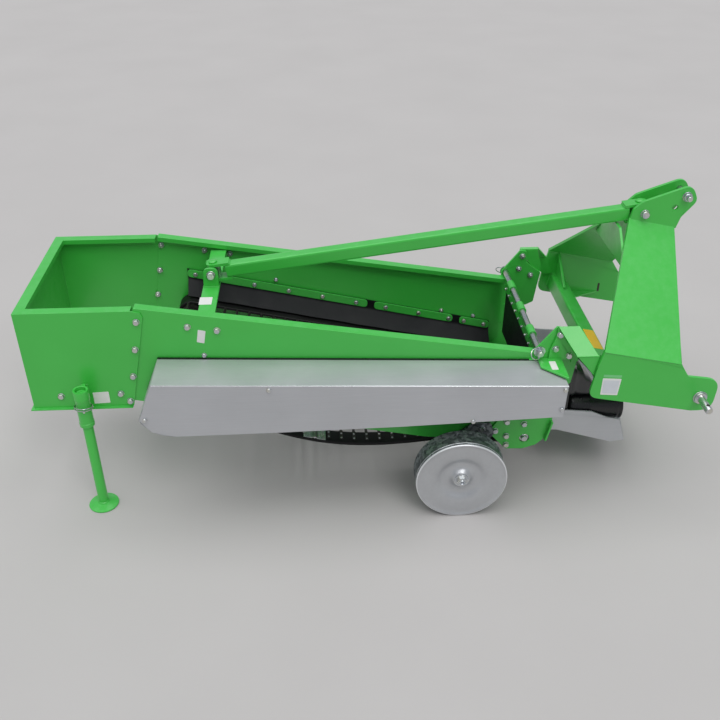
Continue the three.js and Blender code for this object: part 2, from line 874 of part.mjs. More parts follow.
addPair('lower_link_pin', lowerLinkPin(), brightSteel);

function topLinkPin() {
    const outer = hitchUpperY + fitGap;
    return turned([
        [0, -outer - 12],
        [topPinR + 5, -outer - 12],
        [topPinR + 5, -outer],
        [topPinR, -outer],
        [topPinR, outer + 20],
        [0, outer + 20],
    ], 16).translate(topPinX, 0, topPinZ);
}

addMesh('top_link_pin', topLinkPin(), brightSteel);

// ---------- top strut, its knuckles and the bridge over the panels ----------
const strutStart = new THREE.Vector3(strutRearX, 0, strutRearZ);
const strutEnd = new THREE.Vector3(strutFrontX, 0, strutFrontZ);
const strutAlong = strutEnd.clone().sub(strutStart).normalize();
const strutUp = new THREE.Vector3(-strutAlong.z, 0, strutAlong.x);
const yokeSheet = 8;
const yokeReach = 56;
const yokeHole = 8;

function yoke(base, direction) {
    const pieces = [1, -1].map((side) => {
        const shape = outline([
            [-12, -strutSide / 2],
            [yokeReach, -strutSide / 2, 18],
            [yokeReach, strutSide / 2, 18],
            [-12, strutSide / 2],
        ]);
        withHoles(shape, [[yokeReach - 20, 0, yokeHole + fitGap]]);
        const across = yAxis.clone().multiplyScalar(direction);
        const along = strutAlong.clone().multiplyScalar(direction);
        const lift = side > 0 ? strutSide / 2 : -strutSide / 2 - yokeSheet;
        const origin = base.clone().addScaledVector(strutUp, lift);
        return slab(shape, yokeSheet, origin, along, across, 4);
    });
    return pieces;
}

function strut() {
    const length = strutEnd.distanceTo(strutStart);
    const tube = squareTube(length, strutSide, strutWall);
    const frame = new THREE.Matrix4().makeBasis(strutUp, yAxis.clone().negate(), strutAlong);
    tube.applyMatrix4(frame);
    tube.translate(strutStart.x, strutStart.y, strutStart.z);
    return joined(tube, ...yoke(strutStart, -1), ...yoke(strutEnd, 1));
}

addMesh('top_strut', strut(), greenPaint);

// A block between the yoke's plates, on an upright bolt, with a bolt across into the ears.
function knuckle(base, direction, boltX, boltZ, earY) {
    const blockHalf = strutSide / 2 - fitGap;
    const centre = base.clone().addScaledVector(strutAlong, direction * (yokeReach - 20));
    const blockLength = 34;
    const block = new THREE.BoxGeometry(blockLength, strutSide - 10, 2 * blockHalf);
    const frame = new THREE.Matrix4().makeBasis(strutAlong, yAxis, strutUp);
    block.applyMatrix4(frame).translate(centre.x, centre.y, centre.z);
    const pinHalf = strutSide / 2 + yokeSheet + 6;
    const upright = bar(centre.clone().addScaledVector(strutUp, -pinHalf), strutUp, yokeHole, 2 * pinHalf, 12);
    const eye = barAlongY(boltX, boltZ, 13, -strutSide / 2 + 5, strutSide / 2 - 5, 16);
    const bolt = barAlongY(boltX, boltZ, yokeHole, -earY - 10, earY + 10, 12);
    const link = sidePlate(outline([
        [centre.x, centre.z - 12],
        [boltX, boltZ - 12],
        [boltX, boltZ + 12],
        [centre.x, centre.z + 12],
    ]), -strutSide / 2 + 5, strutSide / 2 - 5);
    return joined(block, upright, eye, bolt, link);
}

const rearBoltX = -472;
const rearBoltZ = 645;
const frontBoltX = 811;
const frontBoltZ = 812;

function bridge() {
    const lowX = bridgeX - bridgeWidth / 2;
    const highX = bridgeX + bridgeWidth / 2;
    const legY = panelInnerY - fitGap;
    const profile = outline([
        [-legY, 545],
        [-legY + bridgeSheet, 545],
        [-legY + bridgeSheet, bridgeTopZ - bridgeSheet - 10, 10],
        [-legY + 20, bridgeTopZ - bridgeSheet],
        [legY - 20, bridgeTopZ - bridgeSheet],
        [legY - bridgeSheet, bridgeTopZ - bridgeSheet - 10, 10],
        [legY - bridgeSheet, 545],
        [legY, 545],
        [legY, bridgeTopZ - 10],
        [legY - 14, bridgeTopZ],
        [-legY + 14, bridgeTopZ],
        [-legY, bridgeTopZ - 10],
    ]);
    const ears = [-1, 1].map((side) => {
        const shape = outline([
            [lowX + 2, bridgeTopZ - 2],
            [highX - 2, bridgeTopZ - 2],
            [rearBoltX + 22, rearBoltZ + 22, 20],
            [rearBoltX - 22, rearBoltZ + 22, 20],
        ]);
        withHoles(shape, [[rearBoltX, rearBoltZ, yokeHole + fitGap]]);
        const lowY = side < 0 ? -32 : 24;
        return sidePlate(shape, lowY, lowY + 8, 4);
    });
    return joined(crossPlate(profile, lowX, highX), ...ears);
}

addMesh('bridge', bridge(), greenPaint);
addMesh('strut_knuckle_rear', knuckle(strutStart, -1, rearBoltX, rearBoltZ, 32), brightSteel);
addMesh('strut_knuckle_front', knuckle(strutEnd, 1, frontBoltX, frontBoltZ, hitchUpperY), brightSteel);

// ---------- cross rod with its hanging curtain ----------
addMesh('cross_rod', barAlongY(rodX, rodZ, crossRodR, -bracketOuterY - 22, bracketOuterY + 22, 16), brightSteel);

const sleeveR = 13;
const sleeveLength = 44;
const sleeveYs = [-143, 0, 143];
const curtainWidth = frameWidth - 2 * (rimWidth + swingGap);

function curtainStrip() {
    const sleeves = sleeveYs.map((y) => cut(
        barAlongY(rodX, rodZ, sleeveR, y - sleeveLength / 2, y + sleeveLength / 2, 16),
        barAlongY(rodX, rodZ, crossRodR + runGap, y - sleeveLength, y + sleeveLength, 16),
    ));
    const strip = cut(
        box(rodX - 4, rodX, -curtainWidth / 2, curtainWidth / 2, rodZ - 48, rodZ - crossRodR - 2),
        barAlongY(rodX, rodZ, crossRodR + runGap, -frameWidth, frameWidth, 16),
    );
    return joined(strip, ...sleeves);
}

addMesh('curtain_strip', curtainStrip(), greenPaint);
addMesh('rubber_curtain', box(rodX + fitGap, rodX + fitGap + curtainSheet, -curtainWidth / 2, curtainWidth / 2,
    rodZ - 24 - curtainDrop, rodZ - 24), blackRubber);

// ---------- drive guard, chain and gearbox on the right-hand side ----------
const guardRearX = -617;
const guardRearZ = 497;
const guardFrontX = 542;
const guardFrontZ = 452;

function drawStrip(points, thickness) {
    const normals = points.map((point, i) => {
        const before = points[Math.max(i - 1, 0)];
        const after = points[Math.min(i + 1, points.length - 1)];
        const along = new THREE.Vector2(after[0] - before[0], after[1] - before[1]).normalize();
        return [-along.y, along.x];
    });
    const inner = points.map(([x, z], i) => [x + normals[i][0] * thickness, z + normals[i][1] * thickness]);
    return outline([...points, ...inner.reverse()]);
}

function driveGuard() {
    const face = outline([
        [guardRearX, guardRearZ],
        [-664, 380, 14],
        [-633, 337, 40],
        [-570, 319, 30],
        [-297, 321],
        [68, 328],
        [539, 345],
        [guardFrontX, guardFrontZ],
    ]);
    const rearEdge = [[guardRearX, guardRearZ], [-664, 380], [-659, 366], [-633, 337], [-603, 325], [-570, 319]];
    const top = drawStrip([[guardFrontX, guardFrontZ], [guardRearX, guardRearZ]], guardSheet);
    return joined(
        sidePlate(face, -guardOuterY, -guardOuterY + guardSheet, 4),
        sidePlate(top, -guardOuterY, -guardInnerY),
        sidePlate(drawStrip(rearEdge, guardSheet), -guardOuterY, -guardInnerY),
    );
}

addMesh('drive_guard', driveGuard(), zincSheet);

// Belt line round the two sprockets: straight runs tangent to both pitch circles.
function chainLoop() {
    const span = Math.hypot(outputX - rearRollerX, rearRollerZ - outputZ);
    const slope = Math.atan2(rearRollerZ - outputZ, outputX - rearRollerX);
    const taper = Math.asin((rearSprocketR - frontSprocketR) / span);
    const rise = fitGap + chainThickness / 2;
    const top = Math.PI / 2 - slope - taper;
    const below = -Math.PI / 2 - slope + taper;
    const path = new THREE.Path();
    path.absarc(outputX, outputZ, frontSprocketR + rise, top, below, true);
    path.absarc(rearRollerX, rearRollerZ, rearSprocketR + rise, below, top - 2 * Math.PI, true);
    path.closePath();
    return sidePlate(bandOutline(loopPoints(path), chainThickness), chainY - 8, chainY + 8);
}

addMesh('drive_chain', chainLoop(), darkSteel);

const gearboxRearX = 496;
const gearboxFrontX = 600;
const gearboxHalfY = 52;
const noseR = 30;
const noseLength = 34;

function gearbox() {
    const lowHalfY = gearboxHalfY - 8;
    const body = box(gearboxRearX, gearboxFrontX, gearboxY - gearboxHalfY, gearboxY + gearboxHalfY, 252, 436);
    const low = box(540, gearboxFrontX, gearboxY - lowHalfY, gearboxY + lowHalfY, inputZ - noseR - 2, 260);
    const foot = box(gearboxRearX, gearboxFrontX, -panelOuterY, gearboxY, 330, 436);
    const nose = bar(new THREE.Vector3(gearboxFrontX - 5, gearboxY, inputZ), xAxis, noseR, noseLength + 5, 20);
    return joined(body, low, foot, nose);
}

function outputShaft() {
    return joined(
        barAlongY(outputX, outputZ, outputR, chainY - 14, -outsideY, 16),
        barAlongY(outputX, outputZ, frontSprocketR, chainY - sprocketHalf, chainY + sprocketHalf, 16),
    );
}

function inputShaft() {
    const start = new THREE.Vector3(gearboxFrontX + noseLength + fitGap, gearboxY, inputZ);
    return bar(start, xAxis, inputR, 95, 16);
}

// Open-ended plastic guard that sits on the gearbox's nose and covers the input shaft.
function shaftCuff() {
    const bore = noseR + 2 * fitGap;
    const cuff = turned([
        [bore, 0],
        [cuffR - 12, 0],
        [cuffR, 14],
        [cuffR, cuffLength],
        [cuffR - cuffWall, cuffLength],
        [cuffR - cuffWall, 16],
        [cuffR - 14, cuffWall],
        [bore, cuffWall],
        [bore, 0],
    ], 32);
    cuff.applyQuaternion(new THREE.Quaternion().setFromUnitVectors(yAxis, xAxis));
    return cuff.translate(gearboxFrontX + 8, gearboxY, inputZ);
}

addMesh('gearbox', gearbox(), castBlack);
addMesh('output_shaft', outputShaft(), darkSteel);
addMesh('input_shaft', inputShaft(), brightSteel);
addMesh('shaft_cuff', shaftCuff(), blackPlastic);

// ---------- digging share and its side wings ----------
const wingOuterY = panelOuterY; // the wings lap the inside of the low side plates
const bladeFrontX = 794;
const bladeFrontZ = 133;
const bladeRearX = 548;

function wing() {
    const shape = outline([
        [520, 190, 10],
        [571, 190],
        [750, 135],
        [794, 141],
        [768, 221],
        [730, 229, 20],
        [675, 254, 20],
        [600, 262],
        [520, 262, 10],
    ]);
    return sidePlate(shape, -wingOuterY, -wingOuterY + wingSheet, 3);
}

addPair('share_wing', wing(), zincSheet);

function share() {
    const slope = THREE.MathUtils.degToRad(bladeSlope);
    const back = new THREE.Vector3(-Math.cos(slope), 0, Math.sin(slope));
    const up = yAxis.clone().negate();
    const halfWidth = wingOuterY - wingSheet - fitGap;
    const length = (bladeFrontX - bladeRearX) / Math.cos(slope);
    const shape = outline([
        [0, -halfWidth],
        [length, -halfWidth],
        [length, halfWidth],
        [0, halfWidth],
        [-57, 0],
    ]);
    const origin = new THREE.Vector3(bladeFrontX, 0, bladeFrontZ);
    return slab(shape, bladeSheet, origin, back, up);
}

addMesh('digging_share', share(), brightSteel);

// Flat bar across the machine that carries the share from below.
function shareBar() {
    const slope = THREE.MathUtils.degToRad(bladeSlope);
    const back = new THREE.Vector3(-Math.cos(slope), 0, Math.sin(slope));
    const down = new THREE.Vector3(-Math.sin(slope), 0, -Math.cos(slope));
    const barFront = 80;
    const barWidth = 65;
    const barSheet = 10;
    const origin = new THREE.Vector3(bladeFrontX, 0, bladeFrontZ);
    origin.addScaledVector(down, fitGap + barSheet);
    const halfWidth = wingOuterY - wingSheet - fitGap;
    return slab(outline([
        [barFront, -halfWidth],
        [barFront + barWidth, -halfWidth],
        [barFront + barWidth, halfWidth],
        [barFront, halfWidth],
    ]), barSheet, origin, back, yAxis.clone().negate());
}

addMesh('share_bar', shareBar(), greenPaint);

// ---------- parking stand ----------
function standSleeve() {
    const tube = turned([
        [standLegR + runGap, standSleeveBottomZ],
        [standSleeveR, standSleeveBottomZ],
        [standSleeveR, standSleeveTopZ],
        [standLegR + runGap, standSleeveTopZ],
        [standLegR + runGap, standSleeveBottomZ],
    ], 24);
    tube.rotateX(Math.PI / 2);
    tube.translate(standX, -standY, 0);
    const lug = box(standX - 5, standX + 5, -standY + standSleeveR - 2, -outsideY - panelSheet - fitGap, 345, 420);
    return joined(tube, lug);
}

function standLeg() {
    const leg = turned([
        [0, 0],
        [standFootR, 0],
        [standFootR, 4],
        [standFootR - 12, 8],
        [standLegR + 2, 12],
        [standLegR, 16],
        [standLegR, standSleeveTopZ - 8],
        [0, standSleeveTopZ - 8],
    ], 24);
    leg.rotateX(Math.PI / 2);
    return leg.translate(standX, -standY, 0);
}

addMesh('stand_sleeve', standSleeve(), greenPaint);
addMesh('stand_leg', standLeg(), greenPaint);

export default harvester;
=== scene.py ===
# Potato harvester, single row, carried on a tractor's three-point linkage: its looks, built round the
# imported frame. Metres in the scene; shapes are worked out in millimetres and scaled once, in makePiece.
# +X runs forward, +Y to the machine's left, +Z up, and the ground is z = 0.
import math
import bmesh
import bpy
import numpy as np
from functools import partial
from mathutils import Matrix, Vector
from mathutils.bvhtree import BVHTree


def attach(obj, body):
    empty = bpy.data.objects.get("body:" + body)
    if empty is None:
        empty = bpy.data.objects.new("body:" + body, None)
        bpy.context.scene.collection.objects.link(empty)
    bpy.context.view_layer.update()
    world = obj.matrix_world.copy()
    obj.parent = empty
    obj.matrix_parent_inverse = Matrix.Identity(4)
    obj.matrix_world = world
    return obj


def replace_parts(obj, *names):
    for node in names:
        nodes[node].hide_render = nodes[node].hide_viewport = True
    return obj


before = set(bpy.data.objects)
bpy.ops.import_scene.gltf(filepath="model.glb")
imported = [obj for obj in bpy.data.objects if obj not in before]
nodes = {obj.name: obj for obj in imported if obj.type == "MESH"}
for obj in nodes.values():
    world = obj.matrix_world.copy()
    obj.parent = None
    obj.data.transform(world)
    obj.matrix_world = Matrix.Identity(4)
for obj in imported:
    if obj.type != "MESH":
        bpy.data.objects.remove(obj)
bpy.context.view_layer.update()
scene = bpy.context.scene
sideName = {-1: "right", 1: "left"}  # the machine's own sides; -1 is the side of the guard and stand
print("frame loaded:", len(nodes), "nodes")


cameraPlace = {
    "eye": (-0.150, -2.3364, 1.8201),
    "forward": (0.0448, 0.8386, -0.5428),
    "up": (0.0290, 0.5420, 0.8398),
    "lens": 42.9, "sensor": 36, "clip": 60,
}


def placeCamera():
    data = bpy.data.cameras.new("camera")
    data.lens, data.sensor_width, data.clip_end = (cameraPlace[key] for key in ("lens", "sensor", "clip"))
    camera = bpy.data.objects.new("camera", data)
    forward = Vector(cameraPlace["forward"]).normalized()
    right = forward.cross(Vector(cameraPlace["up"])).normalized()
    turn = Matrix((right, right.cross(forward), -forward)).transposed()
    camera.matrix_world = Matrix.Translation(cameraPlace["eye"]) @ turn.to_4x4()
    scene.collection.objects.link(camera)
    scene.camera = camera


placeCamera()
scene.view_settings.view_transform = "Standard"


# sRGB hex to linear: c / 12.92 up to 0.04045, and ((c + 0.055) / 1.055) ** 2.4 above it.
def linear(code):
    c = np.array([int(code[i:i + 2], 16) for i in (1, 3, 5)]) / 255
    c = np.where(c <= 0.04045, c / 12.92, ((c + 0.055) / 1.055) ** 2.4)
    return (*c.tolist(), 1.0)


# Adds a node. A key with a capital or a number is a socket, any other is a setting, and a value with a # is
# a colour. A link comes from another node's first output, or from the output that is given.
def addNode(tree, kind, values=None, links=None):
    node = tree.nodes.new("ShaderNode" + kind)
    for key, value in (values or {}).items():
        if isinstance(value, str) and value.startswith("#"):
            value = linear(value)
        if isinstance(key, int) or key[0].isupper():
            node.inputs[key].default_value = value
        else:
            setattr(node, key, value)
    for key, source in (links or {}).items():
        tree.links.new(source.outputs[0] if isinstance(source, bpy.types.Node) else source, node.inputs[key])
    return node


# Makes a material: its recipe adds nodes, with patterns placed by Object coordinates, and returns the shader.
def newMaterial(name, recipe, *values, **options):
    material = bpy.data.materials.new(name)
    material.use_nodes = True
    tree = material.node_tree
    tree.nodes.clear()
    place = addNode(tree, "TexCoord").outputs["Object"]
    shader = recipe(partial(addNode, tree), place, *values, **options)
    addNode(tree, "OutputMaterial", None, {"Surface": shader})
    return material


lightLevels = {"sky": 0.42, "skyColour": "#eef3fb", "background": "#c5c4c4"}
lamps = [
    # name, place it shines from towards the middle, angle across in degrees, strength
    ("softTop", (-0.5, -0.3, 3.2), 68, 1.72),
    ("softFront", (1.1, -2.4, 2.8), 26, 0.62),
]


def lightScene():
    world = bpy.data.worlds.new("world")
    scene.world = world
    world.use_nodes = True
    tree = world.node_tree
    tree.nodes.clear()
    path = addNode(tree, "LightPath")
    sky = addNode(tree, "Background", {"Color": lightLevels["skyColour"], "Strength": lightLevels["sky"]})
    seen = addNode(tree, "Background", {"Color": lightLevels["background"], "Strength": 1.0})
    mixed = addNode(tree, "MixShader", None, {0: path.outputs["Is Camera Ray"], 1: sky, 2: seen})
    addNode(tree, "OutputWorld", None, {"Surface": mixed})
    for name, place, angle, strength in lamps:
        data = bpy.data.lights.new(name, "SUN")
        data.angle = math.radians(angle)
        data.energy = strength
        lamp = bpy.data.objects.new(name, data)
        lamp.location = place
        lamp.rotation_euler = (-Vector(place)).to_track_quat("-Z", "Y").to_euler()
        scene.collection.objects.link(lamp)


lightScene()


floorSize = {"reach": 40.0, "below": 0.0005}  # metres; a hair under the ground, so that nothing flickers


# Floated concrete: dull, even, with a faint cloudiness from the trowel and grit 4.5 mm apart.
def floatedConcrete(add, place):
    cloud = add("TexNoise", {"Scale": 1.6, "Detail": 4.0}, {"Vector": place})
    colour = add("Mix", {"data_type": "RGBA", 6: "#bbb8b6", 7: "#c3c0be"}, {0: cloud})
    grit = add("TexNoise", {"Scale": 220.0}, {"Vector": place})
    bump = add("Bump", {"Strength": 0.12, "Distance": 0.001}, {"Height": grit})
    return add("BsdfPrincipled", {"Roughness": 0.9, "Specular IOR Level": 0.2},
               {"Base Color": colour.outputs[2], "Normal": bump})


def layFloor():
    reach = floorSize["reach"]
    mesh = bpy.data.meshes.new("floor")
    corners = [(-reach, -reach, 0), (reach, -reach, 0), (reach, reach, 0), (-reach, reach, 0)]
    mesh.from_pydata(corners, [], [(0, 1, 2, 3)])
    mesh.materials.append(newMaterial("floatedConcrete", floatedConcrete))
    floor = bpy.data.objects.new("floor", mesh)
    floor.location.z = -floorSize["below"]
    scene.collection.objects.link(floor)


layFloor()
print("camera, light and floor placed")


# Polyester powder coat on sheet steel, sprayed and baked: glossy film with a fine orange-peel skin, two
# greens that drift where the film is thicker, and a paler tone in patches on what faces up, part field
# dust and part painted light that makes upward faces brighter than the sides.
paint = {
    # the pale tone that upward faces drift to is part dust, part painted top light
    "deep": "#3abb40", "clear": "#43c64a", "dustAndTopLight": "#93dba0",
    "peelScale": 320.0,  # waves about 3 mm long, as sprayed
    "patchScale": 5.0,  # film thickness drifts over some 200 mm
    "roughness": 0.34, "coat": 0.6, "coatRoughness": 0.26,
}


def powderCoat(add, place, deep, clear, dustAndTopLight, peel=0.1, peelScale=paint["peelScale"]):
    patch = add("TexNoise", {"Scale": paint["patchScale"], "Detail": 3.0}, {"Vector": place})
    film = add("Mix", {"data_type": "RGBA", 6: deep, 7: clear}, {0: patch})
    speckle = add("TexNoise", {"Scale": 42.0, "Detail": 6.0, "Roughness": 0.7}, {"Vector": place})
    facing = add("NewGeometry")
    parts = add("SeparateXYZ", None, {0: facing.outputs["Normal"]})
    # upward faces mix towards the pale tone in patches: part dust, part painted light that brightens the tops
    upward = add("MapRange", {1: 0.45, 2: 1.0, 3: 0.0, 4: 1.0}, {0: parts.outputs["Z"]})
    patchLevel = add("MapRange", {1: 0.42, 2: 0.78, 3: 0.02, 4: 0.22}, {0: speckle})
    dustAndTopLightAmount = add("Math", {"operation": "MULTIPLY"}, {0: upward, 1: patchLevel})
    colour = add("Mix", {"data_type": "RGBA", 7: dustAndTopLight}, {0: dustAndTopLightAmount, 6: film.outputs[2]})
    rough = paint["roughness"]
    gloss = add("MapRange", {1: 0.3, 2: 0.75, 3: rough - 0.06, 4: rough + 0.12}, {0: speckle})
    skin = add("TexNoise", {"Scale": peelScale}, {"Vector": place})
    bump = add("Bump", {"Strength": peel, "Distance": 0.0006}, {"Height": skin})
    return add("BsdfPrincipled",
               {"IOR": 1.5, "Coat Weight": paint["coat"], "Coat Roughness": paint["coatRoughness"]},
               {"Base Color": colour.outputs[2], "Roughness": gloss, "Normal": bump})


# Hot-dip galvanised sheet, weathered: crystals of zinc 6 to 12 mm wide, each its own dark or pale grey.
def hotDipZinc(add, place):
    bend = add("TexNoise", {"Scale": 60.0, "Detail": 3.0}, {"Vector": place})
    wavy = add("VectorMath", {"operation": "MULTIPLY_ADD", 1: (0.012, 0.012, 0.012)},
               {0: bend.outputs["Color"], 2: place})
    crystals = add("TexVoronoi", {"Scale": 115.0}, {"Vector": wavy})
    shade = add("SeparateColor", None, {0: crystals.outputs["Color"]})
    ramp = add("ValToRGB", None, {0: shade})
    stops = ramp.color_ramp.elements
    stops[0].color, stops[1].color = linear("#4f5658"), linear("#9ba2a4")
    stops.new(0.5).color = linear("#73797c")
    rough = add("MapRange", {1: 0.0, 2: 1.0, 3: 0.34, 4: 0.62}, {0: shade.outputs[1]})
    grain = add("TexNoise", {"Scale": 400.0}, {"Vector": place})
    bump = add("Bump", {"Strength": 0.15, "Distance": 0.0005}, {"Height": grain})
    return add("BsdfPrincipled", {"Metallic": 0.7}, {"Base Color": ramp, "Roughness": rough, "Normal": bump})


# Zinc-coated or mill-finish sheet as it comes off the rolls: fine lines along one way, soft shine.
def rolledSheet(add, place, dark, light, metal, roughness, stretch=(6, 240, 240)):
    along = add("Mapping", {"Scale": stretch}, {"Vector": place})
    lines = add("TexNoise", {"Scale": 1.6, "Detail": 5.0, "Roughness": 0.6}, {"Vector": along})
    clouds = add("TexNoise", {"Scale": 3.0, "Detail": 5.0, "Roughness": 0.6}, {"Vector": place})
    both = add("Math", {"operation": "MULTIPLY_ADD", 1: 0.5}, {0: lines, 2: clouds})
    level = add("MapRange", {1: 0.35, 2: 1.15, 3: 0.0, 4: 1.0}, {0: both})
    colour = add("Mix", {"data_type": "RGBA", 6: dark, 7: light}, {0: level})
    rough = add("MapRange", {1: 0.35, 2: 0.7, 3: roughness - 0.07, 4: roughness + 0.1}, {0: clouds})
    bump = add("Bump", {"Strength": 0.08, "Distance": 0.0004}, {"Height": lines})
    return add("BsdfPrincipled", {"Metallic": metal},
               {"Base Color": colour.outputs[2], "Roughness": rough, "Normal": bump})


# Bright zinc plate on turned and forged steel: thin passivated film, pale with a trace of blue and straw.
def zincPlate(add, place):
    drift = add("TexNoise", {"Scale": 55.0, "Detail": 3.0}, {"Vector": place})
    ramp = add("ValToRGB", None, {0: drift})
    stops = ramp.color_ramp.elements
    stops[0].position, stops[1].position = 0.3, 0.7
    stops[0].color, stops[1].color = linear("#b9bfc6"), linear("#d3d1c6")
    stops.new(0.5).color = linear("#cdd0d2")
    marks = add("TexNoise", {"Scale": 520.0}, {"Vector": place})
    rough = add("MapRange", {1: 0.3, 2: 0.7, 3: 0.2, 4: 0.38}, {0: marks})
    bump = add("Bump", {"Strength": 0.1, "Distance": 0.0002}, {"Height": marks})
    return add("BsdfPrincipled", {"Metallic": 0.95}, {"Base Color": ramp, "Roughness": rough, "Normal": bump})


# Uncoated steel bar, hot rolled and oiled: near black scale that rubs to grey, a blush of rust.
def scaledSteel(add, place):
    scale = add("TexNoise", {"Scale": 90.0, "Detail": 6.0, "Roughness": 0.65}, {"Vector": place})
    rust = add("TexNoise", {"Scale": 14.0, "Detail": 5.0, "Roughness": 0.7}, {"Vector": place})
    grey = add("Mix", {"data_type": "RGBA", 6: "#2f2e2d", 7: "#5b5955"}, {0: scale})
    spots = add("MapRange", {1: 0.55, 2: 0.78, 3: 0.0, 4: 0.55}, {0: rust})
    colour = add("Mix", {"data_type": "RGBA", 7: "#5a3f2c"}, {0: spots, 6: grey.outputs[2]})
    rough = add("MapRange", {1: 0.3, 2: 0.7, 3: 0.4, 4: 0.62}, {0: scale})
    bump = add("Bump", {"Strength": 0.25, "Distance": 0.0004}, {"Height": scale})
    return add("BsdfPrincipled", {"Metallic": 0.7},
               {"Base Color": colour.outputs[2], "Roughness": rough, "Normal": bump})


# Vulcanised rubber, pressed in a mould: soft sheen, a pale bloom in patches, and a fine matt grain that is
# drawn 1.4 mm wide, coarser than real.
def vulcanisedRubber(add, place, dark, bloom, roughness):
    patch = add("TexNoise", {"Scale": 11.0, "Detail": 5.0, "Roughness": 0.6}, {"Vector": place})
    level = add("MapRange", {1: 0.35, 2: 0.8, 3: 0.0, 4: 1.0}, {0: patch})
    colour = add("Mix", {"data_type": "RGBA", 6: dark, 7: bloom}, {0: level})
    grain = add("TexNoise", {"Scale": 700.0}, {"Vector": place})
    rough = add("MapRange", {1: 0.3, 2: 0.7, 3: roughness - 0.06, 4: roughness + 0.1}, {0: patch})
    bump = add("Bump", {"Strength": 0.2, "Distance": 0.0004}, {"Height": grain})
    return add("BsdfPrincipled", {"IOR": 1.52, "Specular IOR Level": 0.3},
               {"Base Color": colour.outputs[2], "Roughness": rough, "Normal": bump})


# Polyethylene moulded black: glossier than rubber, with a faint spark texture off the mould, 1.7 mm wide.
def mouldedPlastic(add, place):
    scuff = add("TexNoise", {"Scale": 30.0, "Detail": 6.0, "Roughness": 0.7}, {"Vector": place})
    colour = add("Mix", {"data_type": "RGBA", 6: "#101112", 7: "#1d1e20"}, {0: scuff})
    rough = add("MapRange", {1: 0.35, 2: 0.75, 3: 0.24, 4: 0.42}, {0: scuff})
    spark = add("TexNoise", {"Scale": 600.0}, {"Vector": place})
    bump = add("Bump", {"Strength": 0.12, "Distance": 0.0003}, {"Height": spark})
    return add("BsdfPrincipled", {"IOR": 1.51},
               {"Base Color": colour.outputs[2], "Roughness": rough, "Normal": bump})


# Cast self-adhesive vinyl: even colour, satin, handled enough to have gone faintly uneven.
def vinylFilm(add, place, colour, shade):
    smear = add("TexNoise", {"Scale": 45.0, "Detail": 4.0}, {"Vector": place})
    mixed = add("Mix", {"data_type": "RGBA", 6: colour, 7: shade}, {0: smear})
    rough = add("MapRange", {1: 0.3, 2: 0.7, 3: 0.3, 4: 0.45}, {0: smear})
    return add("BsdfPrincipled", {"IOR": 1.46}, {"Base Color": mixed.outputs[2], "Roughness": rough})


finish = {
    "green": newMaterial("powderCoatGreen", powderCoat, paint["deep"], paint["clear"], paint["dustAndTopLight"]),
    # the third colour is the tone upward faces drift to: part dust, part painted top light
    "cast": newMaterial("castIronBlack", powderCoat, "#141618", "#1d1f21", "#2c2f31",
                        peel=0.55, peelScale=190.0),
    "drum": newMaterial("hotDipZinc", hotDipZinc),
    "sheet": newMaterial("zincSheet", rolledSheet, "#b6b8bb", "#cccdd0", 0.5, 0.46),
    "disc": newMaterial("pressedZinc", rolledSheet, "#b7b9bc", "#c8cacc", 0.7, 0.34, stretch=(60, 60, 60)),
    # bend: a paler copy of the zinc sheet, a painted highlight for the guard's fold and the wheels' beads
    "bend": newMaterial("paintedHighlightZinc", rolledSheet, "#e1e3e6", "#eef0f1", 0.55, 0.28),
    "blade": newMaterial("millSteel", rolledSheet, "#9d9fa0", "#bfc1c1", 0.8, 0.36),
    "bright": newMaterial("zincPlate", zincPlate),
    "dark": newMaterial("scaledSteel", scaledSteel),
    "rubber": newMaterial("flapRubber", vulcanisedRubber, "#0d0e11", "#16181c", 0.56),
    "belt": newMaterial("beltRubber", vulcanisedRubber, "#121212", "#1e1e1e", 0.58),
    "plastic": newMaterial("mouldedPlastic", mouldedPlastic),
    "white": newMaterial("whiteFilm", vinylFilm, "#efefec", "#e2e2de"),
    "grey": newMaterial("greyFilm", vinylFilm, "#dce0e4", "#d0d5d9"),
    "pale": newMaterial("clearFilmMargin", vinylFilm, "#7fd58a", "#72c97d"),
    "yellow": newMaterial("yellowFilm", vinylFilm, "#ffcf3c", "#fbc630"),
}
print("finishes made:", len(finish))


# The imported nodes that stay: a finish, and how far in millimetres each one's edges are rounded.
nodeFinish = {
    "green": ["side_panel", "rear_chute", "low_side_plate", "front_bracket", "hitch_plate", "mast_gusset",
              "hitch_arm", "hitch_crossbeam", "top_strut", "bridge", "curtain_strip", "share_bar"],
    "cast": ["gearbox"],
    # the wheel arm takes the dark weathered zinc partly as painted shade, for the shadow it sits in
    "drum": ["wheel_arm"],
    "sheet": ["drive_guard", "share_wing"],
    "blade": ["digging_share"],
    "bright": ["strut_knuckle"],
    "dark": ["web_drive_roller", "web_front_roller", "web_support_roller", "wheel_axle", "output_shaft"],
}
edgeRound = {
    "side_panel": 0.9, "rear_chute": 0.9, "low_side_plate": 1.0, "front_bracket": 1.2, "hitch_plate": 0.9,
    "mast_gusset": 1.2, "hitch_arm": 1.4, "hitch_crossbeam": 3.0, "top_strut": 2.2, "bridge": 1.2,
    "share_bar": 1.0, "gearbox": 5.0, "wheel_arm": 1.2, "drive_guard": 1.3, "share_wing": 0.9,
    "digging_share": 1.2, "strut_knuckle": 1.2,
}
rounding = {"weld": 0.00001, "sharpest": 34, "wide": 2, "flat": 0.6}  # metres, degrees, millimetres, degrees


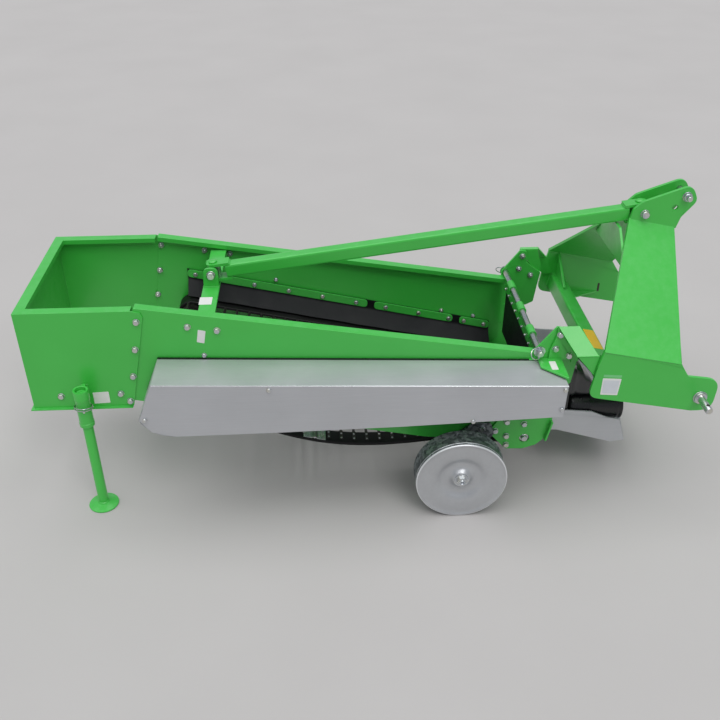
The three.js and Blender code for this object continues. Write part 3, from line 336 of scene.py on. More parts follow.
def finishNodes():
    for key, starts in nodeFinish.items():
        for name, node in nodes.items():
            if name.startswith(tuple(starts)):
                node.data.materials.clear()
                node.data.materials.append(finish[key])
    for start, width in edgeRound.items():
        for name, node in nodes.items():
            if not name.startswith(start):
                continue
            weld = node.modifiers.new("join", "WELD")
            weld.merge_threshold = rounding["weld"]
            if start == "side_panel":  # one face for each flat, so that no sliver is rounded
                flats = node.modifiers.new("flats", "DECIMATE")
                flats.decimate_type = "DISSOLVE"
                flats.angle_limit = math.radians(rounding["flat"])
            bevel = node.modifiers.new("edge", "BEVEL")
            bevel.width = width / 1000
            bevel.segments = 3 if width > rounding["wide"] else 2
            bevel.limit_method = "ANGLE"
            bevel.angle_limit = math.radians(rounding["sharpest"])
            bevel.use_clamp_overlap = width > rounding["wide"]


finishNodes()
print("CAD nodes finished")


# Every shape below is a pair: points in millimetres, and faces, worked out as whole arrays.
# Quads between neighbours of a grid of points, rows by columns, wrapped round either way if asked.
def gridQuads(rows, columns, wrapRows=False, wrapColumns=False):
    i, j = np.arange(rows - (not wrapRows)), np.arange(columns - (not wrapColumns))
    i, j = np.meshgrid(i, j, indexing="ij")
    after, beside = (i + 1) % rows, (j + 1) % columns
    corners = [i * columns + j, after * columns + j, after * columns + beside, i * columns + beside]
    return np.stack(corners, -1).reshape(-1, 4)


def unit(v):
    v = np.asarray(v, float)
    return v / np.linalg.norm(v, axis=-1, keepdims=True)


# Two directions square to an axis and to each other.
def crossways(axis):
    axis = unit(axis)
    helper = np.array([0.0, 0.0, 1.0]) if abs(axis[2]) < 0.9 else np.array([1.0, 0.0, 0.0])
    across = unit(np.cross(helper, axis))
    return across, np.cross(axis, across)


# Directions along and square to a line that rises by an angle towards the front, seen from the side.
def rising(angle):
    return np.array([math.cos(angle), 0, math.sin(angle)]), np.array([-math.sin(angle), 0, math.cos(angle)])


# Circle in the plane square to a normal: centre + radius * (cos t * across + sin t * over).
def circleAt(centre, normal, radius, steps):
    across, over = crossways(normal)
    t = np.linspace(0, 2 * np.pi, steps, endpoint=False)
    return np.asarray(centre, float) + radius * (np.cos(t)[:, None] * across + np.sin(t)[:, None] * over)


# Turned shape: each (radius, distance) of a profile goes round an axis,
# point = origin + distance * axis + radius * (cos t * across + sin t * over).
def turned(profile, origin, axis, sides=48, ring=False):
    profile = np.asarray(profile, float)
    circle = circleAt((0, 0, 0), axis, 1, sides)
    points = np.asarray(origin, float) + profile[:, None, 1:2] * unit(axis) + profile[:, None, 0:1] * circle
    return points.reshape(-1, 3), gridQuads(len(profile), sides, ring, True)


# Stack of rings along +Z: each ring is a height with one radius, or one radius for every side.
def ringStack(rings, sides):
    t = np.linspace(0, 2 * np.pi, sides, endpoint=False)
    radius = np.array([np.broadcast_to(r, sides) for r, _ in rings], float)
    height = np.array([[h] * sides for _, h in rings], float)
    points = np.stack([radius * np.cos(t), radius * np.sin(t), height], -1)
    return points.reshape(-1, 3), gridQuads(len(rings), sides, False, True)


# Radius of a hexagon at every 30 degrees: half the width over flats / cos(angle from the flat).
def hexRadius(width):
    t = np.radians(np.arange(12) * 30.0)
    return width / 2 / np.cos((t % (np.pi / 3)) - np.pi / 6)


# Bolt head: a washer's rings, then a hexagon whose top edge is turned off.
def hexHead(width, height, washer, sheet=2.0):
    return ringStack([(0, 0), (washer, 0), (washer, sheet * 0.8), (washer - 0.5, sheet),
                      (hexRadius(width), sheet), (hexRadius(width), height * 0.84),
                      (width * 0.47, height), (0, height)], 12)


# Nut with the bolt's end standing out of it: the washer's and hexagon's rings, then a short thread.
def hexNut(width, height, stud, reach, washer, sheet=1.8):
    return ringStack([(0, 0), (washer, 0), (washer, sheet), (hexRadius(width), sheet),
                      (hexRadius(width), height * 0.85), (width * 0.46, height), (stud, height),
                      (stud, reach - 1), (stud - 1, reach), (0, reach)], 12)


# Rivet head: radius * cos t wide at height * sin t, from a foot just under the surface.
def domeHead(radius, height, sides=12):
    t = np.radians([0, 30, 60, 90])
    return ringStack([(0, -0.5), (radius, -0.5), *zip(radius * np.cos(t), height * np.sin(t))], sides)


# The same shape at many places: +Z of each copy lies along its own axis, and each is spun a little further.
def copies(shape, places, axes, spin=0.7):
    points, faces = shape[0], np.asarray(shape[1])
    places = np.asarray(places, float).reshape(-1, 3)
    axes = unit(np.broadcast_to(np.asarray(axes, float), places.shape))
    helper = np.where(np.abs(axes[:, 2:3]) < 0.9, [[0.0, 0.0, 1.0]], [[1.0, 0.0, 0.0]])
    across = unit(np.cross(helper, axes))
    over = np.cross(axes, across)
    turn = (np.arange(len(places)) * spin)[:, None]
    first, second = np.cos(turn) * across + np.sin(turn) * over, np.cos(turn) * over - np.sin(turn) * across
    moved = np.einsum("nk,mkj->mnj", points, np.stack([first, second, axes], 1)) + places[:, None]
    offsets = (np.arange(len(places)) * len(points))[:, None, None]
    return moved.reshape(-1, 3), (faces[None] + offsets).reshape(-1, faces.shape[1])


# Profile carried along a path: point = path + scale * (a * side + b * over), where side and over are
# square to the path. An open path is closed at both ends.
def swept(path, profile, closed=False, up=(0, 0, 1), scale=None):
    path, profile = np.asarray(path, float), np.asarray(profile, float)
    along = unit(np.roll(path, -1, 0) - np.roll(path, 1, 0) if closed else np.gradient(path, axis=0))
    size = np.ones(len(path)) if scale is None else np.asarray(scale, float)
    side = unit(np.cross(along, np.broadcast_to(np.asarray(up, float), along.shape)))
    over = np.cross(side, along)
    if not closed:
        ends = np.r_[0, np.arange(len(path)), len(path) - 1]
        path, side, over, size = path[ends], side[ends], over[ends], np.r_[0, size, 0]
    section = profile[None, :, 0:1] * side[:, None] + profile[None, :, 1:2] * over[:, None]
    points = path[:, None] + size[:, None, None] * section
    return points.reshape(-1, 3), gridQuads(len(path), len(profile), closed, True)


def circleProfile(radius, sides=10):
    t = np.linspace(0, 2 * np.pi, sides, endpoint=False)
    return np.stack([radius * np.cos(t), radius * np.sin(t)], -1)


# Corners rounded to a radius: (1 - t)**2 * start + 2 * t * (1 - t) * corner + t**2 * end, where start and
# end are where the arc meets the two edges.
def roundedCorners(corners, radius, steps=5):
    corners = np.asarray(corners, float)
    before, after = np.roll(corners, 1, 0), np.roll(corners, -1, 0)
    a, b = unit(before - corners), unit(after - corners)
    half = np.arccos(np.clip((a * b).sum(-1), -1, 1)) / 2
    reach = (radius / np.tan(half))[:, None]
    t = np.linspace(0, 1, steps)[None, :, None]
    start, end = corners + a * reach, corners + b * reach
    arc = (1 - t) ** 2 * start[:, None] + 2 * t * (1 - t) * corners[:, None] + t ** 2 * end[:, None]
    return arc.reshape(-1, 2)


# Plate: an outline of (a, b) pairs on two directions, carried through its thickness; ease draws the far
# face in a little, as a rounded edge.
def plate(corners, origin, across, up, thickness, ease=0.0):
    corners = np.asarray(corners, float)
    across, up = unit(across), unit(up)
    out = np.cross(across, up)
    levels = [(corners, 0.0), (corners, thickness - ease)]
    if ease:
        middle = corners.mean(0)
        shrink = 1 - ease / np.abs(corners - middle).max()
        levels.append((middle + (corners - middle) * shrink, thickness))
    origin = np.asarray(origin, float)
    points = np.concatenate([origin + c[:, 0:1] * across + c[:, 1:2] * up + h * out for c, h in levels])
    n = len(corners)
    faces = gridQuads(len(levels), n, False, True).tolist()
    return points, faces + [list(range(n))[::-1], [(len(levels) - 1) * n + k for k in range(n)]]


# Upright plate: its outline is (x, z) pairs, and its thickness runs to the machine's right from y.
def uprightPlate(corners, y, thickness):
    return plate(corners, (0, y, 0), (1, 0, 0), (0, 0, 1), thickness)


# Closed sheet: a grid of points shifted half the thickness each way along its normals, joined round the rim.
def sheetBlock(points, towards, half):
    du, dv = np.gradient(points, axis=0), np.gradient(points, axis=1)
    normal = unit(np.cross(du, dv))
    normal = np.where((normal @ towards)[..., None] < 0, -normal, normal)
    rows, columns = points.shape[:2]
    front, back = (points + normal * half).reshape(-1, 3), (points - normal * half).reshape(-1, 3)
    faces = gridQuads(rows, columns)
    index = np.arange(rows * columns).reshape(rows, columns)
    rim = np.concatenate([index[:, 0], index[-1, 1:], index[-2::-1, -1], index[0, -2:0:-1]])
    after, count = np.roll(rim, -1), rows * columns
    edge = np.stack([rim, after, after + count, rim + count], -1)
    return np.concatenate([front, back]), np.concatenate([faces, faces[:, ::-1] + count, edge])


# Weld bead: a round profile along a path; its radius swells with each drop, 0.9 + 0.14 * |sin|, and
# tapers at the ends.
def weldBead(path, radius, pitch=3.2, up=(0.31, 0.17, 0.93)):
    path = np.asarray(path, float)
    length = np.r_[0, np.cumsum(np.linalg.norm(np.diff(path, axis=0), axis=1))]
    s = np.linspace(0, length[-1], max(int(length[-1] / pitch * 3), 8))
    fine = np.stack([np.interp(s, length, path[:, k]) for k in range(3)], -1)
    taper = np.clip(np.minimum(s, length[-1] - s) / 3 + 0.55, 0, 1)
    scale = (0.9 + 0.14 * np.abs(np.sin(np.pi * s / pitch))) * taper
    return swept(fine, circleProfile(radius, 8), scale=scale, up=up)


# Ring clip: a wire bent to a ring.
def ringClip(centre, normal, radius, wire=1.5):
    return swept(circleAt(centre, normal, radius, 40), circleProfile(wire, 8), closed=True, up=normal)


meshing = {"weld": 2e-6, "speck": 1e-6, "sharp": 38}  # metres, metres, degrees


# Joins shapes, welds them, turns their faces outwards and makes the finished piece.
def makePiece(name, shapes, key, body="frame", sharp=meshing["sharp"]):
    offset, points, faces = 0, [], []
    for shapePoints, shapeFaces in shapes:
        points.append(np.asarray(shapePoints, float))
        rows = shapeFaces.tolist() if isinstance(shapeFaces, np.ndarray) else shapeFaces
        faces += [[corner + offset for corner in row] for row in rows]
        offset += len(shapePoints)
    mesh = bpy.data.meshes.new(name)
    mesh.from_pydata((np.concatenate(points) / 1000).tolist(), [], faces)
    work = bmesh.new()
    work.from_mesh(mesh)
    bmesh.ops.remove_doubles(work, verts=work.verts, dist=meshing["weld"])
    bmesh.ops.dissolve_degenerate(work, edges=work.edges, dist=meshing["speck"])
    bmesh.ops.recalc_face_normals(work, faces=work.faces)
    work.to_mesh(mesh)
    work.free()
    mesh.shade_smooth()
    mesh.set_sharp_from_angle(angle=math.radians(sharp))
    mesh.materials.append(finish[key])
    piece = bpy.data.objects.new(name, mesh)
    scene.collection.objects.link(piece)
    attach(piece, body)
    return piece


treeOf = {}  # a search tree for each node that has been asked about


# Where a line across the machine first meets the named nodes, from outside or from the middle: its y.
def seatY(starts, x, z, side, inside=False):
    found = []
    for name, node in nodes.items():
        if not name.startswith(tuple(starts)):
            continue
        if name not in treeOf:
            corners, faces = [v.co for v in node.data.vertices], [p.vertices for p in node.data.polygons]
            treeOf[name] = BVHTree.FromPolygons(corners, faces)
        origin = Vector((x / 1000, 0 if inside else side, z / 1000))
        hit = treeOf[name].ray_cast(origin, Vector((0, side if inside else -side, 0)))
        if hit[0] is not None and hit[0].y * side > 0:
            found.append(hit[0].y * 1000)
    if not found:
        return None
    return min(found, key=abs) if inside else max(found, key=abs)


# Places (x, y, z) and outward axes for fasteners listed by (x, z), on both sides or on one.
def seated(starts, pairs, sides=(-1, 1), inside=False):
    places, axes = [], []
    for side in sides:
        for x, z in pairs:
            y = seatY(starts, x, z, side, inside)
            if y is not None:
                places.append((x, y, z))
                axes.append((0, -side if inside else side, 0))
    return places, axes


print("shape tools ready")


# Web: two belts joined by rods, round the rollers. It leaves the axle's roller and meets the rear one at
# angles in degrees, and the slack curve between eases out of each over so many millimetres.
web = {
    "rearRoller": (-575.0, 402.0), "frontRoller": (473.0, 165.0), "rollerMid": 39.3,
    "axle": (255.0, 136.5), "axleMid": 23.3, "leave": 98.0, "meet": 237.0,
    "easeFront": 350.0, "easeRear": 420.0,
    "width": 456.0, "beltWidth": 58.0, "thickness": 10.0, "rods": 60, "rodRadius": 4.4,
    "padOutline": [(168, -4.6), (214, -5.4), (214, 5.4), (168, 4.6)], "padSheet": 1.6, "rivetY": (184, 206),
}
# where each belt's ends are clamped together, on the lower run
joint = {"x": -182.0, "below": 330, "length": 32, "half": 26, "sheet": 1.8, "curl": 4.5, "pin": 3.2,
         "headAlong": (15, 28), "headAcross": (-17, 0, 17)}
rearRoller, frontRoller, axle = (np.array(web[key]) for key in ("rearRoller", "frontRoller", "axle"))
webSlope = math.atan2(rearRoller[1] - frontRoller[1], frontRoller[0] - rearRoller[0])


# Arc of a circle in x and z.
def arc(centre, radius, start, end, steps):
    t = np.linspace(start, end, steps)
    return centre + radius * np.stack([np.cos(t), np.sin(t)], -1)


# Loop of the web in x and z: an arc over each roller, a slack cubic curve under, the straight run on top.
def webLoop():
    span = frontRoller - axle
    crossing = math.asin((web["rollerMid"] + web["axleMid"]) / np.hypot(*span))
    upAngle = math.pi / 2 - webSlope
    frontLeave = math.atan2(span[1], span[0]) - crossing - math.pi / 2
    leave, meet = math.radians(web["leave"]), math.radians(web["meet"])
    first = arc(frontRoller, web["rollerMid"], upAngle, frontLeave, 34)
    second = arc(axle, web["axleMid"], frontLeave + math.pi, leave, 12)
    last = arc(rearRoller, web["rollerMid"], meet - 2 * math.pi, upAngle - 2 * math.pi, 34)
    a, d = second[-1], last[0]
    b = a + web["easeFront"] * np.array([-math.sin(leave), math.cos(leave)])
    c = d + web["easeRear"] * np.array([-math.sin(meet), math.cos(meet)])
    t = np.linspace(0, 1, 90)[1:-1, None]
    slack = (1 - t) ** 3 * a + 3 * t * (1 - t) ** 2 * b + 3 * t ** 2 * (1 - t) * c + t ** 3 * d
    return np.concatenate([first, second, slack, last, np.linspace(last[-1], first[0], 80)[1:-1]])


# Points at even distances round a closed loop, the direction out of it at each, and the one along it.
def spacedRound(loop, count):
    ring = np.concatenate([loop, loop[:1]])
    length = np.r_[0, np.cumsum(np.hypot(*np.diff(ring, axis=0).T))]
    s = length[-1] * (np.arange(count) + 1) / count
    point = np.stack([np.interp(s, length, ring[:, k]) for k in (0, 1)], -1)
    ahead = np.stack([np.interp((s + 2) % length[-1], length, ring[:, k]) for k in (0, 1)], -1)
    along = unit(ahead - point)
    return point, np.stack([along[:, 1], -along[:, 0]], -1), along


def flatTo3d(points, y):
    points = np.asarray(points, float)
    return np.stack([points[..., 0], np.broadcast_to(y, points.shape[:-1]), points[..., 1]], -1)


# Height of the web's upper face at x: the rear roller's crown, less the slope.
def webTopZ(x):
    crown = web["rollerMid"] + web["thickness"] / 2
    topX = rearRoller[0] + crown * math.sin(webSlope)
    return rearRoller[1] + crown * math.cos(webSlope) - (x - topX) * math.tan(webSlope)


def buildWeb():
    loop = webLoop()
    fine, _, _ = spacedRound(loop, 420)
    half, thick = web["beltWidth"] / 2, web["thickness"] / 2
    # belt section: flat faces with rounded edges and two shallow grooves worn beside the rivet rows
    t = np.linspace(-1, 1, 9)
    upper = np.stack([t * (half - 2), np.where(np.abs(np.abs(t) - 0.5) < 0.13, thick - 0.7, thick)], -1)
    section = np.concatenate([upper, [[half, thick - 2], [half, -thick + 2], [half - 2, -thick],
                                      [-half + 2, -thick], [-half, -thick + 2], [-half, thick - 2]]])
    beltY = web["width"] / 2 - half
    belts = [swept(flatTo3d(fine, y), section[:, ::-1], closed=True, up=(0, 1, 0)) for y in (-beltY, beltY)]
    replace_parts(makePiece("webBelts", belts, "belt"), "web_conveyor")

    centre, out, along = spacedRound(loop, web["rods"])
    reach, radius = web["width"] / 2 - web["beltWidth"] + 3, web["rodRadius"]
    rod = ringStack([(0, -reach), (radius - 0.6, -reach), (radius, -reach + 1), (radius, reach - 1),
                     (radius - 0.6, reach), (0, reach)], 12)
    makePiece("webRods", [copies(rod, flatTo3d(centre, 0), (0, 1, 0), spin=0)], "dark")

    # forged rod ends lie flat on the belts, each held by two rivets
    corners = roundedCorners(web["padOutline"], 3.5, 3)
    pads, rivets, rivetAxes = [], [], []
    for side in (-1, 1):
        across = np.array([0, side, 0.0])
        for place, outDir, alongDir in zip(flatTo3d(centre, 0), flatTo3d(out, 0), flatTo3d(along, 0)):
            origin = place + outDir * (thick + 0.1)
            flip = 1 if np.cross(across, alongDir) @ outDir > 0 else -1
            pads.append(plate(corners * [1, flip], origin, across, alongDir, web["padSheet"] * flip))
            for y in web["rivetY"]:
                rivets.append(origin + across * y + outDir * 1.5)
                rivetAxes.append(outDir)
    makePiece("rodEnds", pads, "dark")
    makePiece("webRivets", [copies(domeHead(3.6, 2.2, 8), rivets, rivetAxes)], "bright")
    joinBelts(fine, beltY, thick)


# Belt joints: two hinged clamp plates on each belt, met by a hinge pin. A plate lies on the belt and curls
# up into the hinge: height = 1.3 + curl * exp(-(distance / 3.4)**2).
def joinBelts(fine, beltY, thick):
    lower = np.where(fine[:, 1] < joint["below"], np.abs(fine[:, 0] - joint["x"]), 1e9)
    at = int(lower.argmin())
    ahead = unit(fine[(at + 1) % len(fine)] - fine[at])
    alongDir, outDir = np.array([ahead[0], 0, ahead[1]]), np.array([ahead[1], 0, -ahead[0]])
    middle = np.array([fine[at][0], 0, fine[at][1]]) + outDir * (thick + 0.2)
    half, sheet, pin = joint["half"], joint["sheet"] / 2, joint["pin"]
    strip = np.array([(-half, -sheet), (half, -sheet), (half, sheet), (-half, sheet)])
    s = joint["length"] * np.linspace(0, 1, 15)
    clamps = []
    for side in (-1, 1):
        belt = middle + np.array([0, side * beltY, 0])
        for way in (-1, 1):
            rise = 1.3 + joint["curl"] * np.exp(-(s / 3.4) ** 2)
            path = belt + np.outer(way * (3 + s), alongDir) + np.outer(rise, outDir)
            clamps.append(swept(path, strip, up=outDir))
            heads = [belt + way * a * alongDir + np.array([0, b, 0]) + outDir * 2.2
                     for a in joint["headAlong"] for b in joint["headAcross"]]
            clamps.append(copies(domeHead(3.4, 2.0, 8), heads, outDir))
        clamps.append(turned([(0, -27), (pin, -27), (pin, 27), (0, 27)], belt + outDir * 5, (0, 1, 0), 14))
    makePiece("beltJoints", clamps, "bright")


buildWeb()
print("web built")


# Chain and sprocket teeth, on the right-hand side.
chain = {
    "y": -310.0, "pitch": 15.875, "rear": (-575.0, 402.0), "rearRadius": 42.3,
    "front": (508.0, 395.0), "frontRadius": 26.3, "plateSheet": 1.6, "plateGap": 6.0, "innerGap": 4.1,
    "linkEnd": 4.6, "linkWaist": 3.4, "rollerRings": [(0, 7.2), (2.2, 7.2), (2.2, 3.2), (3.8, 3.2)],
    "toothRoot": 1.2, "toothRise": 3.4, "toothHalf": 2.6, "toothDepth": 9,
}


# Figure-of-eight link: two ends of one radius, drawn in to the waist between them.
def linkOutline():
    t = np.radians(np.arange(0, 360, 30))
    between = np.abs(np.cos(t)) < 0.3
    a = np.sign(np.cos(t)) * np.where(between, 0, chain["pitch"] / 2) + chain["linkEnd"] * np.cos(t)
    return np.stack([a, np.where(between, chain["linkWaist"], chain["linkEnd"]) * np.sin(t)], -1)


def buildChain():
    rear, front = np.array(chain["rear"]), np.array(chain["front"])
    span = front - rear
    slope = math.atan2(span[1], span[0])
    taper = math.asin((chain["rearRadius"] - chain["frontRadius"]) / np.hypot(*span))
    top, below = math.pi / 2 + slope - taper, -math.pi / 2 + slope + taper
    loop = np.concatenate([arc(front, chain["frontRadius"], top, below, 30),
                           arc(rear, chain["rearRadius"], below, top - 2 * math.pi, 40)])
    length = np.hypot(*np.diff(np.concatenate([loop, loop[:1]]), axis=0).T).sum()
    point, _, _ = spacedRound(loop, 2 * round(length / chain["pitch"] / 2))
    after = np.roll(point, -1, 0)
    middle, along = (point + after) / 2, unit(after - point)
    outline, sheet, shapes = linkOutline(), chain["plateSheet"], []
    for k, (place, alongDir) in enumerate(zip(flatTo3d(middle, chain["y"]), flatTo3d(along, 0))):
        gap = chain["plateGap"] if k % 2 else chain["innerGap"]
        for side in (-1, 1):
            origin = place + [0, side * gap - sheet / 2, 0]
            shapes.append(plate(outline, origin, alongDir, np.cross([0, 1.0, 0], alongDir), -sheet))
    rings = chain["rollerRings"]
    roller = ringStack([(r, -h) for r, h in rings] + rings[::-1], 8)
    shapes.append(copies(roller, flatTo3d(point, chain["y"]), (0, 1, 0)))
    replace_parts(makePiece("rollerChain", shapes, "dark"), "drive_chain")
    # sprocket teeth: the radius rises and falls once each pitch, root to tip
    teeth, half = [], chain["toothHalf"]
    for centre, radius in ((rear, chain["rearRadius"]), (front, chain["frontRadius"])):
        number = round(2 * math.pi * radius / chain["pitch"])
        sides, inner = number * 8, radius - chain["toothDepth"]
        t = np.linspace(0, 2 * np.pi, sides, endpoint=False)
        tip = radius - chain["toothRoot"] + chain["toothRise"] * np.clip(np.cos(number * t) * 1.4, -1, 1)
        points, _ = ringStack([(inner, -half), (tip, -half), (tip, half), (inner, half)], sides)
        shape = points, gridQuads(4, sides, True, True)
        teeth.append(copies(shape, [(centre[0], chain["y"], centre[1])], (0, 1, 0)))
    makePiece("sprocketTeeth", teeth, "dark")


buildChain()
print("chain built")


# Wheels: a rolled drum with beaded rims and a pressed disc. Each profile is (radius, distance) pairs, with
# distances from the outer face inwards; rim radii count from the tread, so 0 is the tread itself.
wheel = {
    "x": 255.0, "z": 136.5, "radius": 136.5, "innerY": 341.0, "outerY": 414.0, "bore": 15.6, "sides": 112,
    "outerRim": [(-10, 10), (-7.5, 7.2), (-5.4, 7.0), (-5.0, 9.2), (-2.6, 9.4), (-0.5, 10.6), (0, 12.4),
                 (-0.5, 14.2), (-2.4, 15.6)],
    # distances of the inner rim count back from the inner face
    "innerRim": [(-2.2, 14), (-0.9, 12.4), (-0.9, 11), (-2.2, 9.6), (-2.4, 8), (-1.2, 6.4), (-0.2, 4.4),
                 (-0.6, 1.6), (-3, 0), (-6, 0.6), (-7.4, 3), (-6.0, 6), (-5.2, 9)],
    "discFace": [(22, 6), (24.5, 6.8), (27, 9.6), (31, 15.0), (36, 18.6), (42, 20.2), (50, 20.6), (57, 19.8),
                 (63, 17.4), (69, 13.4), (76, 9.6), (85, 7.0), (95, 5.4), (106, 4.2), (116, 3.4)],
    "discRim": [(-10.5, 3.0), (-8.4, 2.0), (-6.0, 0.5), (-3.4, 0.0), (-1.2, 1.0), (-0.2, 3.0), (-1.0, 5.2),
                (-3.0, 6.1), (-8, 6.3), (-11, 6.6)],
    "discBack": [(116, 7.0), (106, 7.8), (95, 9.0), (85, 10.6), (76, 13.2), (69, 17.0), (63, 21.0),
                 (57, 23.4), (50, 24.2), (42, 23.8), (34, 22.4), (25, 21)],
    "hubDepth": 8, "seamX": 60.0, "seamRadius": 1.5,
    "beads": [(3.4, 3.3, 3.3), (1.7, 12.4, 1.8)],  # how far in from the tread, distance, radius
}
# hub fittings: radii, the nut's width over flats, and how far the bent pin reaches
hub = {"washer": 23, "nut": 26, "end": 8.5, "pinX": 15, "pinRadius": 1.3, "innerWasher": 24}


def buildWheel(side):
    r, width = wheel["radius"], wheel["outerY"] - wheel["innerY"]
    origin, inward = (wheel["x"], side * wheel["outerY"], wheel["z"]), (0, -side, 0)
    body = sideName[side] + "_wheel"
    name = "wheel" + sideName[side].title()
    # the drum's sheet is rolled over twice at each rim
    drum = [(r + a, b) for a, b in wheel["outerRim"]] + [(r - 2.4, width / 2)]
    drum += [(r + a, width - b) for a, b in wheel["innerRim"]] + [(r - 5.2, 17), (r - 10, 14)]
    # the disc: hub boss, a dished ring round it, a broad crowned field, and a bead over the drum's edge
    disc = [(wheel["bore"], 6), *wheel["discFace"], *[(r + a, b) for a, b in wheel["discRim"]]]
    disc += [*wheel["discBack"], (25, width - wheel["hubDepth"]), (wheel["bore"], width - wheel["hubDepth"])]
    for part, profile, key in (("Drum", drum, "drum"), ("Disc", disc, "disc")):
        shape = turned(profile, origin, inward, wheel["sides"], ring=True)
        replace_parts(makePiece(name + part, [shape], key, body, sharp=50), "wheel_" + sideName[side])
    t = np.linspace(0, 2 * np.pi, 12, endpoint=False)
    rings = [np.stack([r - below + size * np.cos(t), away + size * np.sin(t)], -1)
             for below, away, size in wheel["beads"]]
    beads = [turned(ring, origin, inward, wheel["sides"], ring=True) for ring in rings]
    # the beads round the rims are pale zinc: a painted highlight along them
    makePiece(name + "Bead", beads, "bend", body, sharp=60)
    # the drum's rolled seam, across the tread
    rise = math.sqrt((r - 2.4) ** 2 - wheel["seamX"] ** 2)
    ends = [(wheel["x"] - wheel["seamX"], side * y, wheel["z"] + rise)
            for y in (wheel["innerY"] + 16, wheel["outerY"] - 18)]
    seam = swept(np.linspace(*ends, 12), circleProfile(wheel["seamRadius"], 8))
    makePiece(name + "Seam", [seam], "drum", body)


def buildHub(side):
    def at(y, dx=0, dz=0):
        return wheel["x"] + dx, side * y, wheel["z"] + dz

    out, face = (0, side, 0), wheel["outerY"]
    wide, end, inner = hub["washer"], hub["end"], hub["innerWasher"]
    washer = turned([(0, 0), (wide, 0), (wide, 2.2), (wide - 1, 3), (0, 3)], at(face - 5.6), out, 40)
    hexagon = hexRadius(hub["nut"])
    nut = ringStack([(0, 0), (hexagon, 0), (hexagon, 6.4), (12, 7.4), (0, 7.4)], 12)
    nut = copies(nut, [at(face - 2.6)], out)
    stub = [(0, 0), (end, 0), (end, 2.6), (7.4, 3.8), (5.6, 3.8), (3.4, 0.8), (0, 0.6)]
    stub = turned(stub, at(face + 4.6), out, 24)
    bent = [at(face + 6, -hub["pinX"], 3), at(face + 6.4), at(face + 6, hub["pinX"], -4)]
    pin = swept(bent, circleProfile(hub["pinRadius"], 8))
    back = turned([(0, 0), (inner, 0), (inner, 3), (0, 3)], at(wheel["innerY"] - 5), out, 40)
    makePiece("hub" + sideName[side].title(), [washer, nut, stub, pin, back], "bright")


for side in (-1, 1):
    buildWheel(side)
    buildHub(side)
print("wheels built")


# Fasteners, as (x, z) on the side of the machine; the strip's follow the web, so they are x alone.
boltPlaces = {
    "seam": [(-660, 618), (-675, 529), (-693, 439), (-713, 353)],
    "chute": [(-909, 377), (-737, 380)],
    "bridge": [(-522, 596), (-441, 582)],
    "panel": [(-484, 501)],
    "guard": [(-647, 381), (-297, 470), (278, 341), (533, 440), (530, 374)],
    "lowPlate": [(413, 232), (467, 222), (379, 199), (415, 178), (417, 144)],
    "arm": [(336, 214)],
    "bracket": [(536, 546), (528, 499), (570, 474)],
    "inner": [(-295, 482), (270, 347), (383, 322)],
    "strip": [-559, -480, -367, -253, -140, -26, 76, 190, 296, 350, 420],
}
stripRise = 70  # the strip's bolts stand so far above the web
boltSizes = {
    "large": hexHead(16, 8.5, 9.8, 1.4), "largeNut": hexNut(16, 8.5, 4.8, 13, 9.8),
    "small": hexHead(12, 6.2, 7.6, 1.2), "smallNut": hexNut(12, 6, 3.4, 10, 7.6),
    "roller": hexHead(19, 11, 14.5, 2.4),
}


# One piece of bolts: rows of (size, nodes they sit on, places, and how to seat them).
def boltPiece(name, *rows):
    shapes = []
    for size, starts, pairs, how in rows:
        places, axes = seated(starts, pairs, **how)
        shapes.append(copies(boltSizes[size], places, axes))
    makePiece(name, shapes, "bright")


def fitBolts():
    at = boltPlaces
    skins = ["side_panel", "rear_chute", "low_side_plate", "front_bracket", "hitch_arm", "wheel_arm"]
    both = at["seam"] + at["chute"] + at["bridge"]
    heads, headAxes = seated(skins, both)
    lowHeads, lowAxes = seated(skins, at["lowPlate"] + at["arm"] + at["bracket"])
    makePiece("frameBolts", [copies(boltSizes["large"], heads + lowHeads, headAxes + lowAxes)], "bright")
    boltPiece("frameNuts", ("largeNut", ["side_panel", "rear_chute"], both, {"inside": True}))
    guard, guardAxes = seated(["drive_guard"], at["guard"], sides=(-1,))
    screws, screwAxes = seated(["side_panel"], at["panel"])
    makePiece("guardBolts", [copies(boltSizes["small"], guard + screws, guardAxes + screwAxes)], "bright")
    boltPiece("rollerEndBolts", ("roller", ["web_front_roller"], [web["frontRoller"]], {}))
    strip = [(x, webTopZ(x) + stripRise) for x in at["strip"]]
    boltPiece("stripBolts", ("small", ["side_panel"], strip, {"inside": True}),
              ("smallNut", ["side_panel"], at["inner"], {"inside": True}))
    boltPiece("bracketNuts", ("largeNut", ["front_bracket"], at["bracket"], {"inside": True}))
    # the two rearmost strip bolts and the first inner one show no nut outside
    boltPiece("stripNuts", ("smallNut", ["side_panel"], strip[2:] + at["inner"][1:], {}))


fitBolts()
print("bolts fitted")


# Rubber: the curtain hangs from the rod's strip, a flap from each panel's strip above the web.
curtain = {
    "x": 486.8, "width": 426.0, "top": 462.0, "bottom": 272.0, "sheet": 4.2, "wave": 1.6,
    "studZ": 447, "studY": 200, "studs": 9, "headX": 480.2, "nutX": 489.0,
}
flap = {
    "rear": -585.0, "front": 440.0, "outerY": 243.7, "sheet": 4.6, "tilt": 42.0, "reach": 66.0,
    "lap": 32, "above": 16, "bendStart": 24, "bendLength": 22, "roll": 0.108, "rollStart": 70,
    "ripple": 1.1, "rippleStart": 40, "waves": 7,
}


